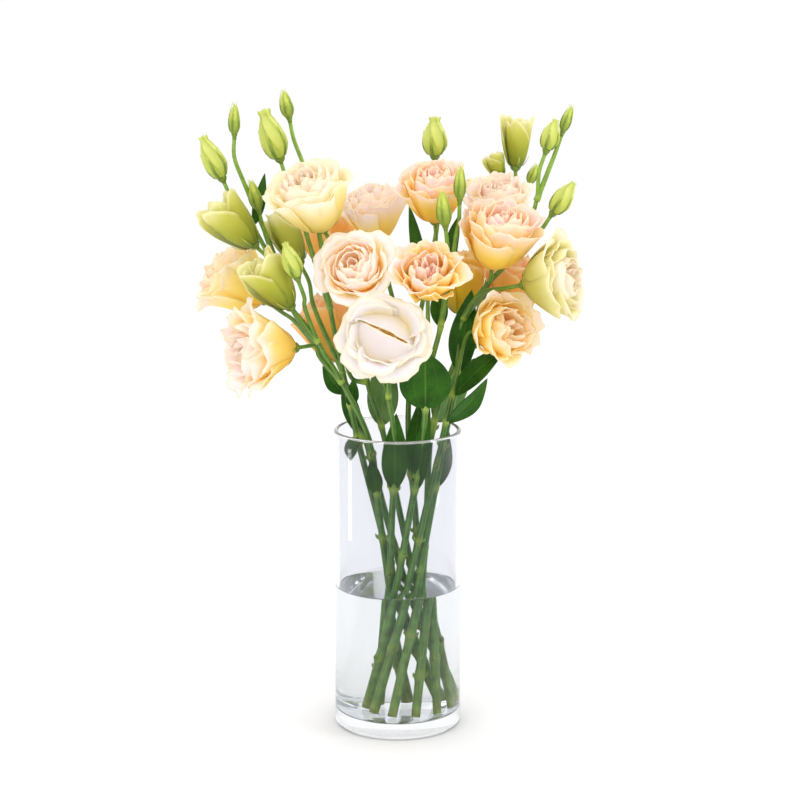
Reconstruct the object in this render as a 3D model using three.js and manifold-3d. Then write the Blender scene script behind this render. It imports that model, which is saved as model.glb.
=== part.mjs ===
// A bunch of cream and apricot double lisianthus in a clear glass cylinder vase, half filled with water.
// Millimetres, +Z up. The origin is the centre of the vase's foot, on the surface that it stands on.
// The bunch is seen from -Y in its usual view, with +X to the right.
import * as THREE from "three";
import { mergeVertices } from "three/addons/utils/BufferGeometryUtils.js";
import Module from "manifold-3d";

const wasm = await Module();
wasm.setup();

// Vase and water
const VASE_RADIUS = 50;
const VASE_HEIGHT = 240;
const WALL = 3.5;
const FLOOR = 12;
const FOOT_BEVEL = 3;
const RIM_ROUND = 1.2;
const VASE_SIDES = 32;
const WATER_LEVEL = 113;
const GAP = 0.3;
const FLOOR_ROUND = 4;
const SMOOTHING = 0.15;
const MERGE_DISTANCE = 1e-3;

// The bunch: its stems lie like the rulings of a twisted sheaf and cross at the waist without touching
const WAIST_HEIGHT = 105;
const WAIST_RADIUS = 13.5;
const SHEAF_SLOPE = 0.25;
const SHEAF_SHIFT_FOOT = 9;
const SHEAF_SHIFT_MOUTH = 3;
const STEM_RADIUS = 3.2;
const FORK_RADIUS = 2.2;
const PEDICEL_RADIUS = 1.5;
const STEM_SIDES = 5;
const MAIN_SEGMENTS = 10;
const SHOOT_SEGMENTS = 3;
const SHEAF_HEIGHTS = [60, WAIST_HEIGHT, 170, 235];
const CALYX_DEPTH = 3.3;
const ARRIVAL_LENGTH = 14;
const HOLE_RADIUS = 4.2;
const HOLE_OVERRUN = 20;

// Petals. The midlines hold control points as shares of a petal's width and of the corolla's height, for an
// upright cup and for a wide open flower.
const PETAL_THICKNESS = 0.7;
const PETAL_ROOT = 0.2;
const PETAL_SIDES_MEET = 0.96;
const PETAL_OPEN_BY = 0.6;
const LIP_POWER = 2.5;
const UPRIGHT_MIDLINE = { r: [0.62, 0.88, 0.92], z: [0.02, 0.62, 1] };
const OPEN_MIDLINE = { r: [0.42, 0.66, 1], z: [0.2, 0.86, 0.84] };
const FOOT_HEIGHT = 0.4;
const INNER_LIFT = 1.06;
const OPENING_FLARE = 0.16;
const FOOT_RADIUS = 3.2;
const HEART_HEIGHT = 0.84;
const CROWN_HEIGHT = 0.62;

// Closed buds
const BUD_SIDES = 8;
const FLUTES = 5;
const FLUTE_DEPTH = 0.07;
const FLUTE_TWIST = 4;

// Leaves and sepals
const LEAF_THICKNESS = 0.8;
const LEAF_ARCH = 0.06;
const LEAF_SEAT = 1.8;
const LEAF_FOLD = 0.22;
const LEAF_ROOT_WIDTH = 0.12;
const LEAF_TIP = 0.95;
const LEAF_FULLNESS = 0.8;
const SEPAL_THICKNESS = 0.9;
const SEPAL_WIDTH = 0.36;
const OPEN_COLLAR = 4.6;
const BUD_SINK = 0.8;

const COLOURS = {
  glass: 0xf2f6f6,
  water: 0xeef4f4,
  stem: 0x5b8a35,
  cream: 0xf8ecd2,
  apricot: 0xf6c98f,
  blush: 0xf7dccb,
  lime: 0xcfd66a,
};

// Heads. at is the foot of the corolla and faces the way that it opens, radius and height are the corolla's,
// flare runs from 0 for an upright cup to 1 for a wide open flower, and turn rolls the petals on the axis.
const BLOOMS = {
  bloom_01: {
    at: [-56, -20, 400], faces: [-0.3, -0.42, 0.86],
    radius: 31, height: 50, flare: 0.25, turn: 20,
  },
  bloom_02: { at: [-14, 58, 381], faces: [-0.18, -0.2, 0.95], radius: 27, height: 43, flare: 0.35, turn: 50 },
  bloom_03: { at: [29, 12, 402], faces: [-0.05, -0.4, 0.92], radius: 27, height: 45, flare: 0.35, turn: 5 },
  bloom_04: { at: [82, 62, 388], faces: [-0.05, -0.4, 0.9], radius: 27, height: 44, flare: 0.3, turn: 35 },
  bloom_05: { at: [73, -14, 371], faces: [0.14, -0.42, 0.88], radius: 31, height: 48, flare: 0.2, turn: 65 },
  bloom_06: { at: [96, -34, 359], faces: [0.86, -0.38, 0.22], radius: 33, height: 42, flare: 0.4, turn: 10 },
  bloom_07: { at: [65, -10, 319], faces: [0.55, -0.76, 0.22], radius: 31, height: 46, flare: 0.45, turn: 40 },
  bloom_08: { at: [23, -48, 355], faces: [0, -0.7, 0.68], radius: 28, height: 40, flare: 0.6, turn: 25 },
  bloom_09: {
    at: [-28, -27, 362], faces: [-0.18, -0.84, 0.5],
    radius: 30, height: 38, flare: 0.55, turn: 55,
  },
  bloom_10: {
    at: [-8, -67, 315], faces: [-0.06, -0.84, 0.54],
    radius: 33, height: 38, flare: 0.85, turn: 15,
  },
  bloom_11: {
    at: [-78, -37, 311], faces: [-0.86, -0.42, 0.02],
    radius: 37, height: 54, flare: 0.75, turn: 45,
  },
  bloom_12: { at: [-106, 52, 333], faces: [-0.7, -0.05, 0.5], radius: 33, height: 50, flare: 0.4, turn: 30 },
  bloom_13: { at: [-43, 50, 285], faces: [-0.42, 0.2, 0.86], radius: 25, height: 52, flare: 0.1, turn: 0 },
  bloom_14: { at: [52, 45, 323], faces: [-0.05, 0.2, 0.95], radius: 22, height: 48, flare: 0.05, turn: 20 },
  bloom_15: { at: [-50, 84, 352], faces: [-0.25, 0.2, 0.95], radius: 25, height: 46, flare: 0.15, turn: 60 },
  bloom_16: { at: [90, 24, 322], faces: [0.1, 0.1, 1], radius: 24, height: 46, flare: 0.1, turn: 45 },
};

const CREAM_BLOOMS = ["bloom_01", "bloom_06", "bloom_10"];
const BLUSH_BLOOMS = ["bloom_04", "bloom_09", "bloom_11"];

// Half open buds: narrow cups of pointed, overlapping lime green petals
const HALF_OPEN = {
  bud_01: { at: [-110, -8, 386], faces: [-0.68, -0.1, 0.7], radius: 19, height: 50, flare: 0.1, turn: 15 },
  bud_02: { at: [-77, 30, 367], faces: [-0.42, 0, 0.9], radius: 14, height: 48, flare: 0, turn: 40 },
  bud_03: { at: [-81, -44, 344], faces: [-0.58, -0.18, 0.78], radius: 18, height: 51, flare: 0.1, turn: 0 },
  bud_04: { at: [95, 88, 436], faces: [0.02, 0, 1], radius: 13, height: 42, flare: 0, turn: 30 },
  bud_05: { at: [82, 84, 429], faces: [-0.33, 0, 0.9], radius: 8, height: 21, flare: 0.1, turn: 10 },
};

// Closed buds whose corolla already stands out of the calyx: a twisted, five-fluted spindle
const CLOSED = {
  bud_06: { at: [-75, -61, 369], faces: [-0.3, -0.18, 0.92], radius: 7, height: 28 },
  bud_07: { at: [-91, 15, 450], faces: [-0.3, -0.07, 0.94], radius: 10, height: 39 },
  bud_08: { at: [-135, 5, 436], faces: [-0.4, -0.08, 0.9], radius: 8.5, height: 35 },
  bud_09: { at: [29, 35, 450], faces: [0, 0, 1], radius: 9.5, height: 30 },
  bud_10: { at: [114, 2, 458], faces: [0.3, 0, 0.95], radius: 7, height: 24 },
  bud_11: { at: [119, -10, 411], faces: [0.56, -0.05, 0.83], radius: 7.5, height: 28 },
};

// Small green buds, still of one colour with their stem
const GREEN = {
  tip_01: { at: [-125, 5, 470], faces: [0.02, 0, 1], radius: 4.3, height: 23 },
  tip_02: { at: [-84, 25, 481], faces: [-0.2, 0, 0.97], radius: 5, height: 21 },
  tip_03: { at: [-108, 14, 411], faces: [-0.25, 0, 0.97], radius: 5, height: 23 },
  tip_04: { at: [127, 8, 472], faces: [0.32, 0, 0.95], radius: 4, height: 20 },
  tip_05: { at: [36, -38, 405], faces: [-0.1, 0, 1], radius: 5.5, height: 26 },
  tip_06: { at: [47, -30, 424], faces: [0.03, 0, 1], radius: 4.5, height: 25 },
  tip_07: { at: [106, 80, 424], faces: [0.36, 0, 0.93], radius: 4, height: 16 },
};

// Stems. bearing is where the stem leaves the mouth, in degrees from +X; trunk holds its points above the
// mouth. The first shoot carries the trunk on, and each other one leaves it at trunk point from.
const STEMS = {
  stem_01: {
    bearing: 262,
    trunk: [[-7, -40, 272]],
    shoots: [
      { head: "bloom_09", via: [[-20, -25, 315]] },
      { head: "bloom_10", from: 0, via: [] },
    ],
  },
  stem_02: {
    bearing: 298,
    trunk: [[24, -36, 290], [33, -26, 325]],
    shoots: [
      { head: "tip_06", via: [[40, -26, 365], [45, -30, 400]] },
      { head: "bloom_08", from: 0, via: [] },
      { head: "tip_05", from: 1, via: [[38, -24, 365]] },
    ],
  },
  stem_03: { bearing: 334, trunk: [[46, -12, 285]], shoots: [{ head: "bloom_07", via: [] }] },
  stem_04: {
    bearing: 10,
    trunk: [[46, 6, 275], [51, 8, 325], [70, 2, 354], [93, 3, 380], [107, 5, 418]],
    shoots: [
      { head: "bud_10", via: [] },
      { head: "bloom_05", from: 1, via: [] },
      { head: "bloom_06", from: 1, via: [[66, -14, 350]] },
      { head: "bud_11", from: 3, via: [] },
      { head: "tip_04", from: 4, via: [] },
    ],
  },
  stem_05: {
    bearing: 46,
    trunk: [[46, 42, 285], [66, 66, 325], [80, 92, 372]],
    shoots: [
      { head: "bud_04", via: [[90, 98, 405]] },
      { head: "bloom_04", from: 1, via: [] },
      { head: "bloom_14", from: 0, via: [] },
      { head: "bloom_16", from: 0, via: [[72, 34, 305]] },
      { head: "bud_05", from: 2, via: [] },
      { head: "tip_07", from: 2, via: [[100, 92, 400]] },
    ],
  },
  stem_06: {
    bearing: 82,
    trunk: [[12, 42, 290], [20, 38, 335]],
    shoots: [
      { head: "bloom_03", via: [[27, 24, 375]] },
      { head: "bloom_02", from: 0, via: [[-4, 52, 335]] },
      { head: "bud_09", from: 1, via: [[32, 52, 400]] },
    ],
  },
  stem_07: {
    bearing: 118,
    trunk: [[-24, 44, 268]],
    shoots: [
      { head: "bloom_15", via: [[-26, 74, 312]] },
      { head: "bloom_13", from: 0, via: [] },
    ],
  },
  stem_08: {
    bearing: 154,
    trunk: [[-56, 24, 290], [-84, 14, 335]],
    shoots: [
      { head: "bud_08", via: [[-100, 14, 374], [-121, 12, 412]] },
      { head: "bloom_12", from: 0, via: [[-82, 42, 318]] },
      { head: "bud_01", from: 1, via: [[-98, -4, 370]] },
      { head: "tip_01", from: 1, via: [[-98, 22, 378], [-118, 12, 430]] },
      { head: "tip_03", from: 1, via: [] },
    ],
  },
  stem_09: {
    bearing: 226,
    trunk: [[-42, -32, 282], [-60, -38, 315]],
    shoots: [
      { head: "bud_06", via: [[-70, -50, 345]] },
      { head: "bloom_11", from: 0, via: [[-60, -33, 304]] },
      { head: "bud_03", from: 1, via: [] },
    ],
  },
  stem_10: {
    bearing: 190,
    trunk: [[-42, -8, 285], [-52, -3, 335]],
    shoots: [
      { head: "bloom_01", via: [[-56, -10, 370]] },
      { head: "bud_02", from: 0, via: [[-66, 18, 335]] },
      { head: "bud_07", from: 1, via: [[-66, 14, 375], [-80, 20, 420]] },
      { head: "tip_02", from: 1, via: [[-60, 20, 385], [-72, 26, 440]] },
    ],
  },
};

// Leaves. Each one leaves the main stem that it is on at a height, reaches to its tip and faces as given.
const LEAVES = [
  { on: "stem_02", height: 262, tip: [21, -44, 307], width: 38, faces: [0, -1, 0.1] },
  { on: "stem_02", height: 200, tip: [25, -32, 263], width: 13, faces: [-0.3, -1, 0] },
  { on: "stem_02", height: 372, tip: [47, -2, 408], width: 11, faces: [-0.5, -0.8, 0] },
  { on: "stem_03", height: 268, tip: [86, -14, 309], width: 17, faces: [-0.4, -0.8, 0.4] },
  { on: "stem_04", height: 285, tip: [58, 12, 348], width: 21, faces: [-0.3, -1, 0] },
  { on: "stem_03", height: 250, tip: [69, -30, 286], width: 19, faces: [0.7, -0.7, 0.2] },
  { on: "stem_02", height: 325, tip: [31, -4, 350], width: 13, faces: [0, -1, 0] },
  { on: "stem_06", height: 350, tip: [9, 44, 411], width: 10, faces: [0, -1, 0.1] },
  { on: "stem_01", height: 196, tip: [-1, -37, 260], width: 19, faces: [0, -1, 0] },
  { on: "stem_04", height: 195, tip: [39, 9, 240], width: 15, faces: [0.5, -0.8, 0] },
  { on: "stem_10", height: 262, tip: [-34, -24, 285], width: 10, faces: [0.2, -0.9, 0.4] },
  { on: "stem_10", height: 236, tip: [-36, -14, 217], width: 14, faces: [-0.6, -0.7, 0] },
  { on: "stem_09", height: 190, tip: [-20, -30, 223], width: 12, faces: [0, -1, 0] },
  { on: "stem_06", height: 200, tip: [17, 18, 258], width: 16, faces: [0, -1, 0] },
  { on: "stem_08", height: 232, tip: [-43, 17, 281], width: 14, faces: [-0.4, -0.9, 0] },
  { on: "stem_08", height: 262, tip: [-59, 15, 287], width: 13, faces: [-0.3, -0.9, 0.2] },
  { on: "stem_05", height: 240, tip: [62, 58, 285], width: 24, faces: [0.3, 0.8, 0.5] },
  { on: "stem_07", height: 235, tip: [-10, 66, 290], width: 24, faces: [0, 1, 0.3] },
  { on: "stem_06", height: 262, tip: [22, 74, 305], width: 22, faces: [0, 1, 0.3] },
];

const HEADS = { ...BLOOMS, ...HALF_OPEN, ...CLOSED, ...GREEN };

// Small helpers
const V = (x, y, z) => new THREE.Vector3(x, y, z);
const mix = (a, b, t) => a + (b - a) * t;
const rad = THREE.MathUtils.degToRad;
const UP = V(0, 0, 1);

// A closed surface as a solid, with its doubled vertices merged and its flat slivers left out
function solidOf(geometry) {
  const bare = new THREE.BufferGeometry();
  bare.setAttribute("position", geometry.getAttribute("position"));
  if (geometry.index) bare.setIndex(geometry.index);
  const merged = mergeVertices(bare, MERGE_DISTANCE);
  const index = merged.index.array;
  const kept = [];
  for (let i = 0; i < index.length; i += 3) {
    const [a, b, c] = [index[i], index[i + 1], index[i + 2]];
    if (a !== b && b !== c && a !== c) kept.push(a, b, c);
  }
  const mesh = new wasm.Mesh({
    numProp: 3,
    vertProperties: new Float32Array(merged.attributes.position.array),
    triVerts: new Uint32Array(kept),
  });
  return new wasm.Manifold(mesh);
}

// The largest body of a fused solid: sealed hollows are filled and loose scraps dropped
function largestBody(solid) {
  return solid.decompose().reduce((best, body) => (body.volume() > best.volume() ? body : best));
}

function fuse(solids) {
  const joined = solids.reduce((whole, solid) => whole.add(solid));
  return largestBody(joined).simplify(SMOOTHING);
}

function geometryOf(solid) {
  const { vertProperties, triVerts } = solid.getMesh();
  const geometry = new THREE.BufferGeometry();
  geometry.setAttribute("position", new THREE.BufferAttribute(new Float32Array(vertProperties), 3));
  geometry.setIndex(new THREE.BufferAttribute(new Uint32Array(triVerts), 1));
  geometry.computeVertexNormals();
  return geometry;
}

function gridGeometry(points, faces) {
  const geometry = new THREE.BufferGeometry();
  geometry.setAttribute("position", new THREE.Float32BufferAttribute(points.flatMap((p) => p.toArray()), 3));
  geometry.setIndex(faces.flat());
  return geometry;
}

// The two triangles of a quad, whose corners run anticlockwise as its outer side shows them
function addQuad(faces, a, b, c, d) {
  faces.push([a, b, c], [a, c, d]);
}

// A thin blade about a surface, which gives a point for u from -1 to 1 across and v from 0 to 1 along.
// Both faces are split into triangles alike, and a rim closes them.
function blade(surface, columns, rows, thickness) {
  const front = [];
  const back = [];
  for (let row = 0; row <= rows; row++) {
    for (let column = 0; column <= columns; column++) {
      const u = (2 * column) / columns - 1;
      const v = row / rows;
      const point = surface(u, v);
      const normal = surfaceNormal(surface, u, v);
      front.push(point.clone().addScaledVector(normal, thickness / 2));
      back.push(point.clone().addScaledVector(normal, -thickness / 2));
    }
  }
  const width = columns + 1;
  const count = width * (rows + 1);
  const faces = [];
  for (let row = 0; row < rows; row++) {
    for (let column = 0; column < columns; column++) {
      const a = row * width + column;
      const [b, c, d] = [a + 1, a + width + 1, a + width];
      addQuad(faces, a, b, c, d);
      addQuad(faces, count + a, count + d, count + c, count + b);
    }
  }
  const border = [];
  for (let column = 0; column < columns; column++) border.push(column);
  for (let row = 0; row < rows; row++) border.push(row * width + columns);
  for (let column = columns; column > 0; column--) border.push(rows * width + column);
  for (let row = rows; row > 0; row--) border.push(row * width);
  border.forEach((a, i) => {
    const b = border[(i + 1) % border.length];
    addQuad(faces, b, a, count + a, count + b);
  });
  return solidOf(gridGeometry([...front, ...back], faces));
}

// Rings of points around a path joined into one skin, closed at the foot; each ring holds sides points
function skinFaces(rings, sides) {
  const faces = [];
  for (let ring = 0; ring < rings - 1; ring++) {
    for (let side = 0; side < sides; side++) {
      const a = ring * sides + side;
      const b = ring * sides + ((side + 1) % sides);
      addQuad(faces, a, b, b + sides, a + sides);
    }
  }
  for (let side = 1; side < sides - 1; side++) faces.push([0, side + 1, side]);
  return faces;
}

function ringPoints(centre, across, over, radius, sides) {
  return Array.from({ length: sides }, (_, side) => {
    const angle = (2 * Math.PI * side) / sides;
    return centre
      .clone()
      .addScaledVector(across, radius * Math.cos(angle))
      .addScaledVector(over, radius * Math.sin(angle));
  });
}

// A tapered round tube along a curve, left open at its far end; last holds the frame that it ends with
function tubeSkin(curve, radiusAt, sides, segments) {
  const frames = curve.computeFrenetFrames(segments, false);
  const points = [];
  for (let i = 0; i <= segments; i++) {
    const share = i / segments;
    const centre = curve.getPointAt(share);
    points.push(...ringPoints(centre, frames.normals[i], frames.binormals[i], radiusAt(share), sides));
  }
  return { points, faces: skinFaces(segments + 1, sides), last: frames.normals[segments] };
}

function rod(from, to, radius, sides) {
  const { points, faces } = tubeSkin(new THREE.LineCurve3(from, to), () => radius, sides, 1);
  for (let side = 1; side < sides - 1; side++) faces.push([sides, sides + side, sides + side + 1]);
  return solidOf(gridGeometry(points, faces));
}

// A solid of revolution about +Z; ripple(angle, share) scales the radius at a share of the profile's length
function turned(profile, sides, ripple = null) {
  const lathe = new THREE.LatheGeometry(
    profile.map(([radius, height]) => new THREE.Vector2(radius, height)),
    sides,
  ).rotateX(Math.PI / 2);
  if (ripple) {
    const position = lathe.getAttribute("position");
    for (let i = 0; i < position.count; i++) {
      const [x, y] = [position.getX(i), position.getY(i)];
      const share = (i % profile.length) / (profile.length - 1);
      const scale = ripple(Math.atan2(y, x), share);
      position.setXY(i, x * scale, y * scale);
    }
  }
  return solidOf(lathe);
}

// The frame of a head: its foot at the origin, its axis on +Z, rolled by turn degrees
function headMatrix({ at, faces, turn = 0 }) {
  const axis = V(...faces).normalize();
  const aim = new THREE.Quaternion().setFromUnitVectors(UP, axis);
  const roll = new THREE.Quaternion().setFromAxisAngle(UP, rad(turn));
  return new THREE.Matrix4().compose(V(...at), aim.multiply(roll), V(1, 1, 1));
}

const placed = (solid, matrix) => solid.transform(matrix.elements);

const cubic = (p, s) => {
  const t = 1 - s;
  return t * t * t * p[0] + 3 * t * t * s * p[1] + 3 * t * s * s * p[2] + s * s * s * p[3];
};

// Midline of a petal from the tube to the lip; share is 1 for the outer whorl and less further in
function petalProfile({ radius, height, flare }, share) {
  const between = (key) => UPRIGHT_MIDLINE[key].map((share, i) => mix(share, OPEN_MIDLINE[key][i], flare));
  const r = [FOOT_RADIUS, ...between("r").map((part) => part * radius * share)];
  const z = [FOOT_HEIGHT, ...between("z").map((part) => part * height)];
  const lift = mix(INNER_LIFT, 1, share);
  return (s) => [cubic(r, s), cubic(z, s) * lift];
}

// Petals of a whorl. They share their foot line, wrap the axis and overlap their neighbours by spread: one
// edge lies outside the next petal and the other edge inside the last. The lip is rounded off by corner.
function petalSurface(head, whorl, azimuth) {
  const { count, rows, share, spread, corner, overlap, wave } = whorl;
  const profile = petalProfile(head, share);
  const sector = Math.PI / count;
  const free = 1 / rows;
  return (u, v) => {
    const s = mix(PETAL_ROOT, 1, v * (1 - corner * Math.abs(u) ** LIP_POWER));
    const [r, z] = profile(s);
    const opened = THREE.MathUtils.clamp((v - free) / (PETAL_OPEN_BY * (1 - free)), 0, 1);
    const halfAngle = sector * mix(PETAL_SIDES_MEET, spread, opened);
    const reach = r + overlap * u * v + wave * v * v * Math.cos(Math.PI * u);
    const angle = azimuth + u * halfAngle;
    return V(reach * Math.cos(angle), reach * Math.sin(angle), z);
  };
}

function surfaceNormal(surface, u, v) {
  const step = 1e-3;
  const across = surface(u + step, v).sub(surface(u - step, v));
  const along = surface(u, v + step).sub(surface(u, v - step));
  return across.cross(along).normalize();
}

// Joins a lower ring of points to an upper one that may hold another number of points
function bridge(faces, lower, upper) {
  let [i, j] = [0, 0];
  while (i < lower.length || j < upper.length) {
    const a = lower[i % lower.length];
    const b = upper[j % upper.length];
    if (j === upper.length || (i < lower.length && (i + 0.5) / lower.length <= (j + 0.5) / upper.length)) {
      i += 1;
      faces.push([a, lower[i % lower.length], b]);
    } else {
      j += 1;
      faces.push([a, upper[j % upper.length], b]);
    }
  }
}

// One petal, grown on its shares of the whorl's outer and inner foot circles, which feet gives as point
// numbers: the outer face, the inner face and the rim between them
function growPetal(points, faces, surface, whorl, feet) {
  const { columns, rows } = whorl;
  const half = PETAL_THICKNESS / 2;
  const addPoint = (u, v, offset) =>
    points.push(surface(u, v).addScaledVector(surfaceNormal(surface, u, v), offset)) - 1;
  const [out, back] = feet.map((foot, side) => {
    const lines = [foot];
    for (let row = 1; row <= rows; row++) {
      const offset = side === 0 ? half : -half;
      lines.push(foot.map((_, column) => addPoint((2 * column) / columns - 1, row / rows, offset)));
    }
    return lines;
  });
  for (let row = 0; row < rows; row++) {
    const next = row + 1;
    for (let c = 0; c < columns; c++) {
      addQuad(faces, out[row][c], out[row][c + 1], out[next][c + 1], out[next][c]);
      addQuad(faces, back[row][c], back[next][c], back[next][c + 1], back[row][c + 1]);
    }
    addQuad(faces, out[row][0], out[next][0], back[next][0], back[row][0]);
    addQuad(faces, out[row][columns], back[row][columns], back[next][columns], out[next][columns]);
  }
  for (let c = 0; c < columns; c++) {
    addQuad(faces, out[rows][c], out[rows][c + 1], back[rows][c + 1], back[rows][c]);
  }
}

// A corolla in one skin: its foot, then each whorl of petals with the next one standing inside it, then the
// closed heart in the middle
function corollaSolid(head, whorls, heart) {
  const points = [];
  const faces = [];
  const circle = (radius, height, count, turn = 0) =>
    Array.from({ length: count }, (_, i) => {
      const angle = (2 * Math.PI * (i + turn)) / count;
      return points.push(V(radius * Math.cos(angle), radius * Math.sin(angle), height)) - 1;
    });
  const half = PETAL_THICKNESS / 2;
  let ring = circle(FOOT_RADIUS, 0, 5);
  for (let i = 1; i < 4; i++) faces.push([ring[0], ring[i + 1], ring[i]]);
  for (const whorl of whorls) {
    const { count, columns, share } = whorl;
    const [r, z] = petalProfile(head, share)(PETAL_ROOT);
    const outer = circle(r + half, z - half, count * columns);
    const inner = circle(r - half, z + half, count * columns);
    bridge(faces, ring, outer);
    for (let petal = 0; petal < count; petal++) {
      const surface = petalSurface(head, whorl, (2 * Math.PI * (petal + 0.5)) / count);
      const footOf = (foot) =>
        Array.from({ length: columns + 1 }, (_, c) => foot[(petal * columns + c) % foot.length]);
      growPetal(points, faces, surface, whorl, [footOf(outer), footOf(inner)]);
    }
    ring = inner;
  }
  const crown = circle(heart.radius, heart.height * CROWN_HEIGHT, 5, 0.5);
  bridge(faces, ring, crown);
  const tip = points.push(V(0, 0, heart.height)) - 1;
  for (let i = 0; i < 5; i++) faces.push([crown[i], crown[(i + 1) % 5], tip]);
  return placed(solidOf(gridGeometry(points, faces)), headMatrix(head));
}

// Whorls: how many petals, the cells of each one across and along, and its shape
const OUTER_WHORL = {
  count: 5,
  columns: 3,
  rows: 3,
  share: 1,
  spread: 1.25,
  corner: 0.2,
  overlap: 2,
  wave: 0.8,
};
const INNER_WHORL = {
  ...OUTER_WHORL,
  count: 4,
  columns: 2,
  rows: 2,
  share: 0.62,
  spread: 1.2,
  overlap: 1.6,
  wave: 0.6,
};
const BUD_WHORL = { ...OUTER_WHORL, count: 4, corner: 0.3, overlap: 1.6, wave: 0.4 };

function bloomSolid(head) {
  const heart = { radius: head.radius * 0.2, height: head.height * HEART_HEIGHT };
  return corollaSolid(head, head.flare < OPENING_FLARE ? [OUTER_WHORL] : [OUTER_WHORL, INNER_WHORL], heart);
}

function halfOpenSolid(head) {
  return corollaSolid(head, [BUD_WHORL], { radius: head.radius * 0.3, height: head.height * HEART_HEIGHT });
}

// The outline of a closed bud as shares of its radius and height
const SPINDLE = [
  [0, 0],
  [0.34, 0],
  [0.8, 0.14],
  [1, 0.36],
  [0.84, 0.62],
  [0.42, 0.88],
  [0, 1],
];

function spindle({ radius, height }, sides) {
  const flute = (angle, share) => 1 + FLUTE_DEPTH * Math.cos(FLUTES * angle + FLUTE_TWIST * share);
  return turned(SPINDLE.map(([r, z]) => [r * radius, z * height]), sides, flute);
}

// The calyx at the end of a shoot, grown on to its tube: a small cup with five sepals, which lie along the
// corolla. lean holds the radius and height of the collar, of the middle of a sepal and of its tip.
function growCalyx(skin, foot, axis, lean) {
  const across = skin.last.clone().addScaledVector(axis, -skin.last.dot(axis)).normalize();
  const over = axis.clone().cross(across);
  const at = (radius, height, turn) => {
    const angle = (2 * Math.PI * turn) / 10;
    return foot
      .clone()
      .addScaledVector(across, radius * Math.cos(angle))
      .addScaledVector(over, radius * Math.sin(angle))
      .addScaledVector(axis, height);
  };
  const { points, faces } = skin;
  const neck = points.length - 5;
  const [collar, middle, tip] = lean;
  const thick = SEPAL_THICKNESS;
  const outer = points.length;
  for (let i = 0; i < 10; i++) points.push(at(collar[0], collar[1], i - 0.5));
  const inner = points.length;
  for (let i = 0; i < 10; i++) points.push(at(collar[0] - thick, collar[1], i - 0.5));
  for (let k = 0; k < 5; k++) {
    const [a, b] = [outer + 2 * k, outer + 2 * k + 1];
    const next = outer + ((2 * k + 2) % 10);
    const [c, d] = [a + 10, b + 10];
    faces.push([neck + k, b, a], [neck + k, neck + ((k + 1) % 5), b], [neck + ((k + 1) % 5), next, b]);
    faces.push([b, next, next + 10], [b, next + 10, d]);
    const m = points.length;
    const centre = 2 * k;
    for (const reach of [middle[0], middle[0] - thick]) {
      points.push(at(reach, middle[1], centre - SEPAL_WIDTH), at(reach, middle[1], centre + SEPAL_WIDTH));
    }
    points.push(at(tip[0], tip[1], centre), at(tip[0] - thick, tip[1], centre));
    faces.push([a, b, m + 1], [a, m + 1, m], [m, m + 1, m + 4]);
    faces.push([c, m + 3, d], [c, m + 2, m + 3], [m + 2, m + 5, m + 3]);
    faces.push([a, m, m + 2], [a, m + 2, c], [m, m + 4, m + 5], [m, m + 5, m + 2]);
    faces.push([b, d, m + 3], [b, m + 3, m + 1], [m + 1, m + 3, m + 5], [m + 1, m + 5, m + 4]);
  }
  for (let i = 1; i < 9; i++) faces.push([inner, inner + i, inner + i + 1]);
  return solidOf(gridGeometry(points, faces));
}

// Collar, middle and tip of the sepals under a head, as radius and height from the foot of its corolla
function sepalLean(name) {
  const head = HEADS[name];
  if (BLOOMS[name] || HALF_OPEN[name]) {
    const profile = petalProfile(head, 1);
    const [midRadius, midHeight] = profile(0.2);
    const [tipRadius, tipHeight] = profile(0.36);
    return [[OPEN_COLLAR, -GAP], [midRadius + 3.2, midHeight - 0.6], [tipRadius + 3.6, tipHeight]];
  }
  const { radius, height } = head;
  return [[radius * 0.36 + 1.3, -GAP], [radius * 0.92 + 2.4, height * 0.16], [radius + 1.9, height * 0.5]];
}

// Where a stem of the sheaf lies at a height
function sheafPoint(bearing, z) {
  const mouthRise = SHEAF_SLOPE * (VASE_HEIGHT - WAIST_HEIGHT);
  const theta = rad(bearing) - Math.atan2(mouthRise, WAIST_RADIUS);
  const run = SHEAF_SLOPE * (z - WAIST_HEIGHT);
  const shift = mix(SHEAF_SHIFT_FOOT, SHEAF_SHIFT_MOUTH, z / VASE_HEIGHT);
  const x = shift + WAIST_RADIUS * Math.cos(theta) - run * Math.sin(theta);
  const y = WAIST_RADIUS * Math.sin(theta) + run * Math.cos(theta);
  return V(x, y, z);
}

const STEM_FOOT = FLOOR + GAP + 0.1 + STEM_RADIUS * Math.sin(Math.atan(SHEAF_SLOPE));

const smooth = (points) => new THREE.CatmullRomCurve3(points, false, "centripetal");

// A shoot comes up to its head along the head's own axis
function arrival(head) {
  const axis = V(...head.faces).normalize();
  const foot = V(...head.at).addScaledVector(axis, -CALYX_DEPTH);
  return [foot.clone().addScaledVector(axis, -ARRIVAL_LENGTH), foot];
}

function mainCurve({ bearing, trunk, shoots }) {
  const sheaf = [STEM_FOOT, ...SHEAF_HEIGHTS].map((z) => sheafPoint(bearing, z));
  const above = [...trunk, ...shoots[0].via].map((p) => V(...p));
  return smooth([...sheaf, ...above, ...arrival(HEADS[shoots[0].head])]);
}

function shootSolid(curve, radiusAt, segments, headName) {
  const head = HEADS[headName];
  const skin = tubeSkin(curve, radiusAt, STEM_SIDES, segments);
  return growCalyx(skin, V(...head.at), V(...head.faces).normalize(), sepalLean(headName));
}

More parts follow.
